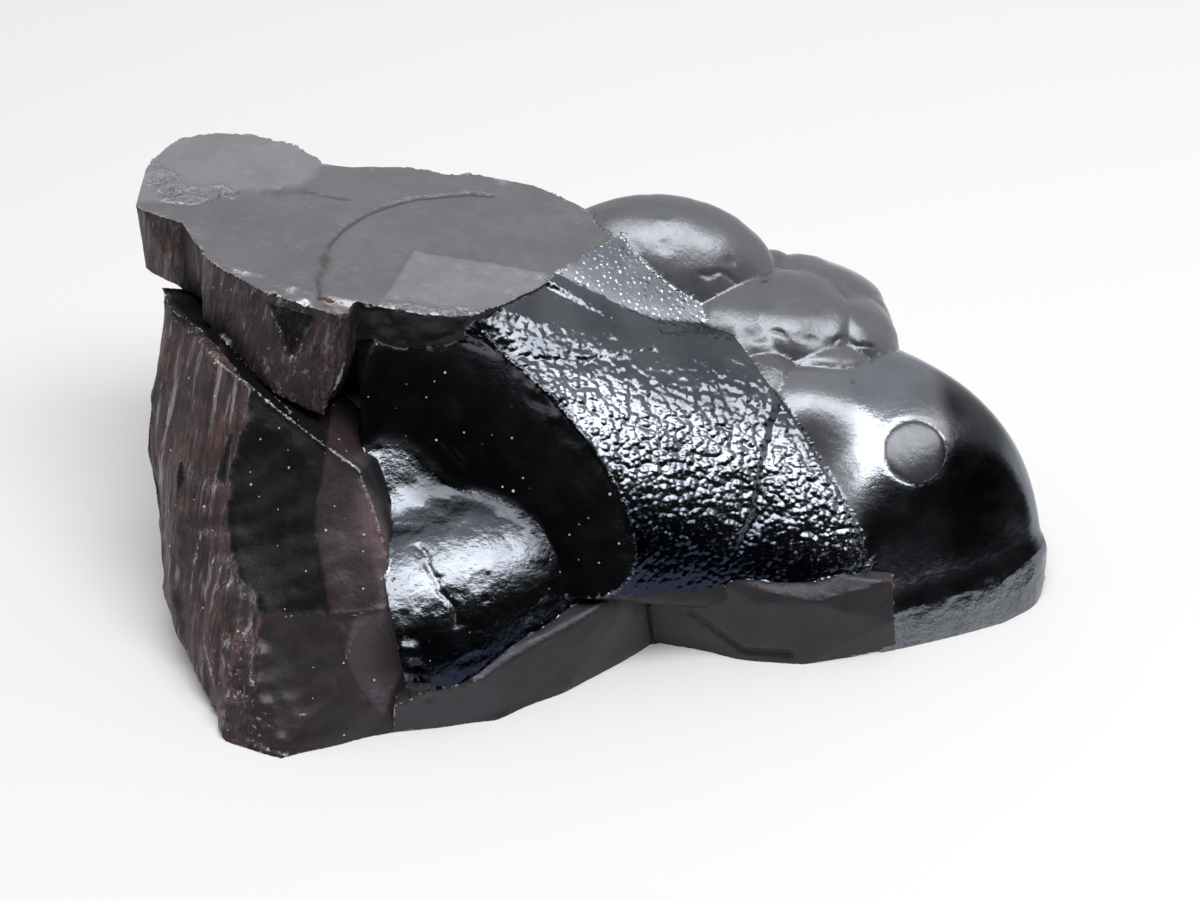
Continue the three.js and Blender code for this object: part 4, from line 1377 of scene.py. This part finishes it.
class HEMATITE_OT_stone(bpy.types.Operator):
    """Builds the stone with its fine relief and finishes"""

    bl_idname = "hematite.stone"
    bl_label = "Raw Hematite"

    def execute(self, context):
        sizes, look = context.scene.hematite_sizes, context.scene.hematite_look
        cell = sizes.cell
        stone = Stone()
        points, faces = main_body(*contour(stone, *STONE_BOX, cell))
        region, inland = stone.regions(points)
        normals = vertex_normals(points, faces)
        height = relief(points, normals, region, inland, sizes) * (points[:, 2] > FLAT_FOOT)
        points = points + normals * height[:, None]
        mesh = bpy.data.meshes.new("raw_hematite")
        mesh.from_pydata(((points - FOOT_MIDDLE) * MM).tolist(), [], faces.tolist())
        mark_mesh(mesh, stone, points, faces, region, cell)
        for make in (make_polished, make_peel, make_satin, make_dark_break, make_fibrous):
            mesh.materials.append(make(look))
        mesh.update()
        piece = bpy.data.objects.new("raw_hematite", mesh)
        context.scene.collection.objects.link(piece)
        thin_out(piece, context, sizes.triangles)
        keep_in_box(piece.data)
        piece.data.set_sharp_from_angle(angle=math.radians(SHARP_ANGLE))
        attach(piece, "root")
        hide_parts("hematite")
        return {"FINISHED"}


def add_floor(scene, colour):
    """A pale matt floor that the stone rests on."""
    mesh = bpy.data.meshes.new("floor")
    r = FLOOR_REACH
    mesh.from_pydata([(-r, -r, 0), (r, -r, 0), (r, r, 0), (-r, r, 0)], [], [(0, 1, 2, 3)])
    floor = bpy.data.objects.new("floor", mesh)
    scene.collection.objects.link(floor)
    material = bpy.data.materials.new("pale_floor")
    material.use_nodes = True
    tree = material.node_tree
    tree.nodes.clear()
    shader = add_node(
        tree, "ShaderNodeBsdfPrincipled",
        {"Base Color": linear(colour), "Roughness": 0.9, "Specular IOR Level": 0.1},
    )
    add_node(tree, "ShaderNodeOutputMaterial", {"Surface": shader.outputs[0]})
    mesh.materials.append(material)


def add_softbox(scene, power):
    """The soft light over the stone."""
    light = bpy.data.lights.new("overhead_softbox", "AREA")
    light.shape = "RECTANGLE"
    light.size, light.size_y = SOFTBOX_SIZE
    light.energy = power
    strip = bpy.data.objects.new("overhead_softbox", light)
    scene.collection.objects.link(strip)
    strip.location = SOFTBOX_PLACE


def add_room(scene, backdrop):
    """A room that is bright above and behind and dark in front, so that the stone's shiny front is dark
    with light along its tops. The camera itself sees a plain backdrop."""
    world = bpy.data.worlds.new("soft_room")
    scene.world = world
    world.use_nodes = True
    tree = world.node_tree
    tree.nodes.clear()
    direction = add_node(tree, "ShaderNodeTexCoord").outputs["Generated"]
    split = add_node(tree, "ShaderNodeSeparateXYZ", {0: direction})
    forward = add_node(
        tree, "ShaderNodeMath", {0: split.outputs["Y"], 1: -1.0}, operation="MULTIPLY",
    ).outputs[0]
    angle = add_node(
        tree, "ShaderNodeMath", {0: split.outputs["Z"], 1: forward}, operation="ARCTAN2",
    ).outputs[0]
    share = add_node(
        tree, "ShaderNodeMapRange",
        {"Value": angle, "From Min": -math.pi, "From Max": math.pi, "To Min": 0.0, "To Max": 1.0},
    ).outputs[0]
    steps = add_node(tree, "ShaderNodeValToRGB", {"Fac": share})
    elements = steps.color_ramp.elements
    while len(elements) > 1:
        elements.remove(elements[-1])
    for n, (degrees, level) in enumerate(ROOM_LIGHT):
        at = (degrees + 180) / 360
        element = elements[0] if n == 0 else elements.new(at)
        element.position = at
        element.color = (level, level, level * 1.02, 1)
    camera_ray = add_node(tree, "ShaderNodeLightPath").outputs["Is Camera Ray"]
    colour = add_node(
        tree, "ShaderNodeMix", {0: camera_ray, 6: steps.outputs[0], 7: linear(backdrop)},
        data_type="RGBA",
    ).outputs[2]
    background = add_node(tree, "ShaderNodeBackground", {"Color": colour, "Strength": 1.0})
    add_node(tree, "ShaderNodeOutputWorld", {"Surface": background.outputs[0]})


def add_camera(scene):
    """The camera, in front of the stone and looking down at it."""
    lens = bpy.data.cameras.new("camera")
    lens.lens = SENSOR_WIDTH / 2 / math.tan(math.radians(HALF_VIEW))
    lens.sensor_width = SENSOR_WIDTH
    lens.clip_start = 0.01
    camera = bpy.data.objects.new("camera", lens)
    scene.collection.objects.link(camera)
    tilt = math.radians(CAMERA_TILT)
    away = np.array([0, -math.cos(tilt), math.sin(tilt)])
    camera.location = (CAMERA_AIM - FOOT_MIDDLE + CAMERA_DISTANCE * away) * MM
    camera.rotation_euler = (math.pi / 2 - tilt, 0, 0)
    scene.camera = camera


class HEMATITE_OT_studio(bpy.types.Operator):
    """Builds the floor, the soft light, the room and the camera"""

    bl_idname = "hematite.studio"
    bl_label = "Studio"

    def execute(self, context):
        scene, studio = context.scene, context.scene.hematite_studio
        add_floor(scene, studio.floor_colour)
        add_softbox(scene, studio.strip_power)
        add_room(scene, studio.backdrop_colour)
        add_camera(scene)
        scene.view_settings.view_transform = "Standard"
        return {"FINISHED"}


class HEMATITE_PT_panel(bpy.types.Panel):
    """Lists the sizes, the colours, the light and the operators"""

    bl_idname = "HEMATITE_PT_panel"
    bl_label = "Raw Hematite"
    bl_space_type = "VIEW_3D"
    bl_region_type = "UI"
    bl_category = "Hematite"

    def draw(self, context):
        layout, scene = self.layout, context.scene
        for group in (scene.hematite_sizes, scene.hematite_look, scene.hematite_studio):
            box = layout.box()
            for name in group.__annotations__:
                box.prop(group, name)
        layout.operator(HEMATITE_OT_stone.bl_idname)
        layout.operator(HEMATITE_OT_studio.bl_idname)


CLASSES = (
    HematiteSizes, HematiteLook, HematiteStudio, HEMATITE_OT_stone, HEMATITE_OT_studio, HEMATITE_PT_panel,
)


def register():
    """Adds the add-on's classes and its settings to Blender."""
    for cls in CLASSES:
        bpy.utils.register_class(cls)
    bpy.types.Scene.hematite_sizes = bpy.props.PointerProperty(type=HematiteSizes)
    bpy.types.Scene.hematite_look = bpy.props.PointerProperty(type=HematiteLook)
    bpy.types.Scene.hematite_studio = bpy.props.PointerProperty(type=HematiteStudio)


def unregister():
    """Takes them away again."""
    for name in ("hematite_sizes", "hematite_look", "hematite_studio"):
        delattr(bpy.types.Scene, name)
    for cls in reversed(CLASSES):
        bpy.utils.unregister_class(cls)


def main():
    """Builds the studio and the stone."""
    register()
    bpy.ops.hematite.studio()
    bpy.ops.hematite.stone()
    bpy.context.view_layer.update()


if __name__ == "__main__":
    main()
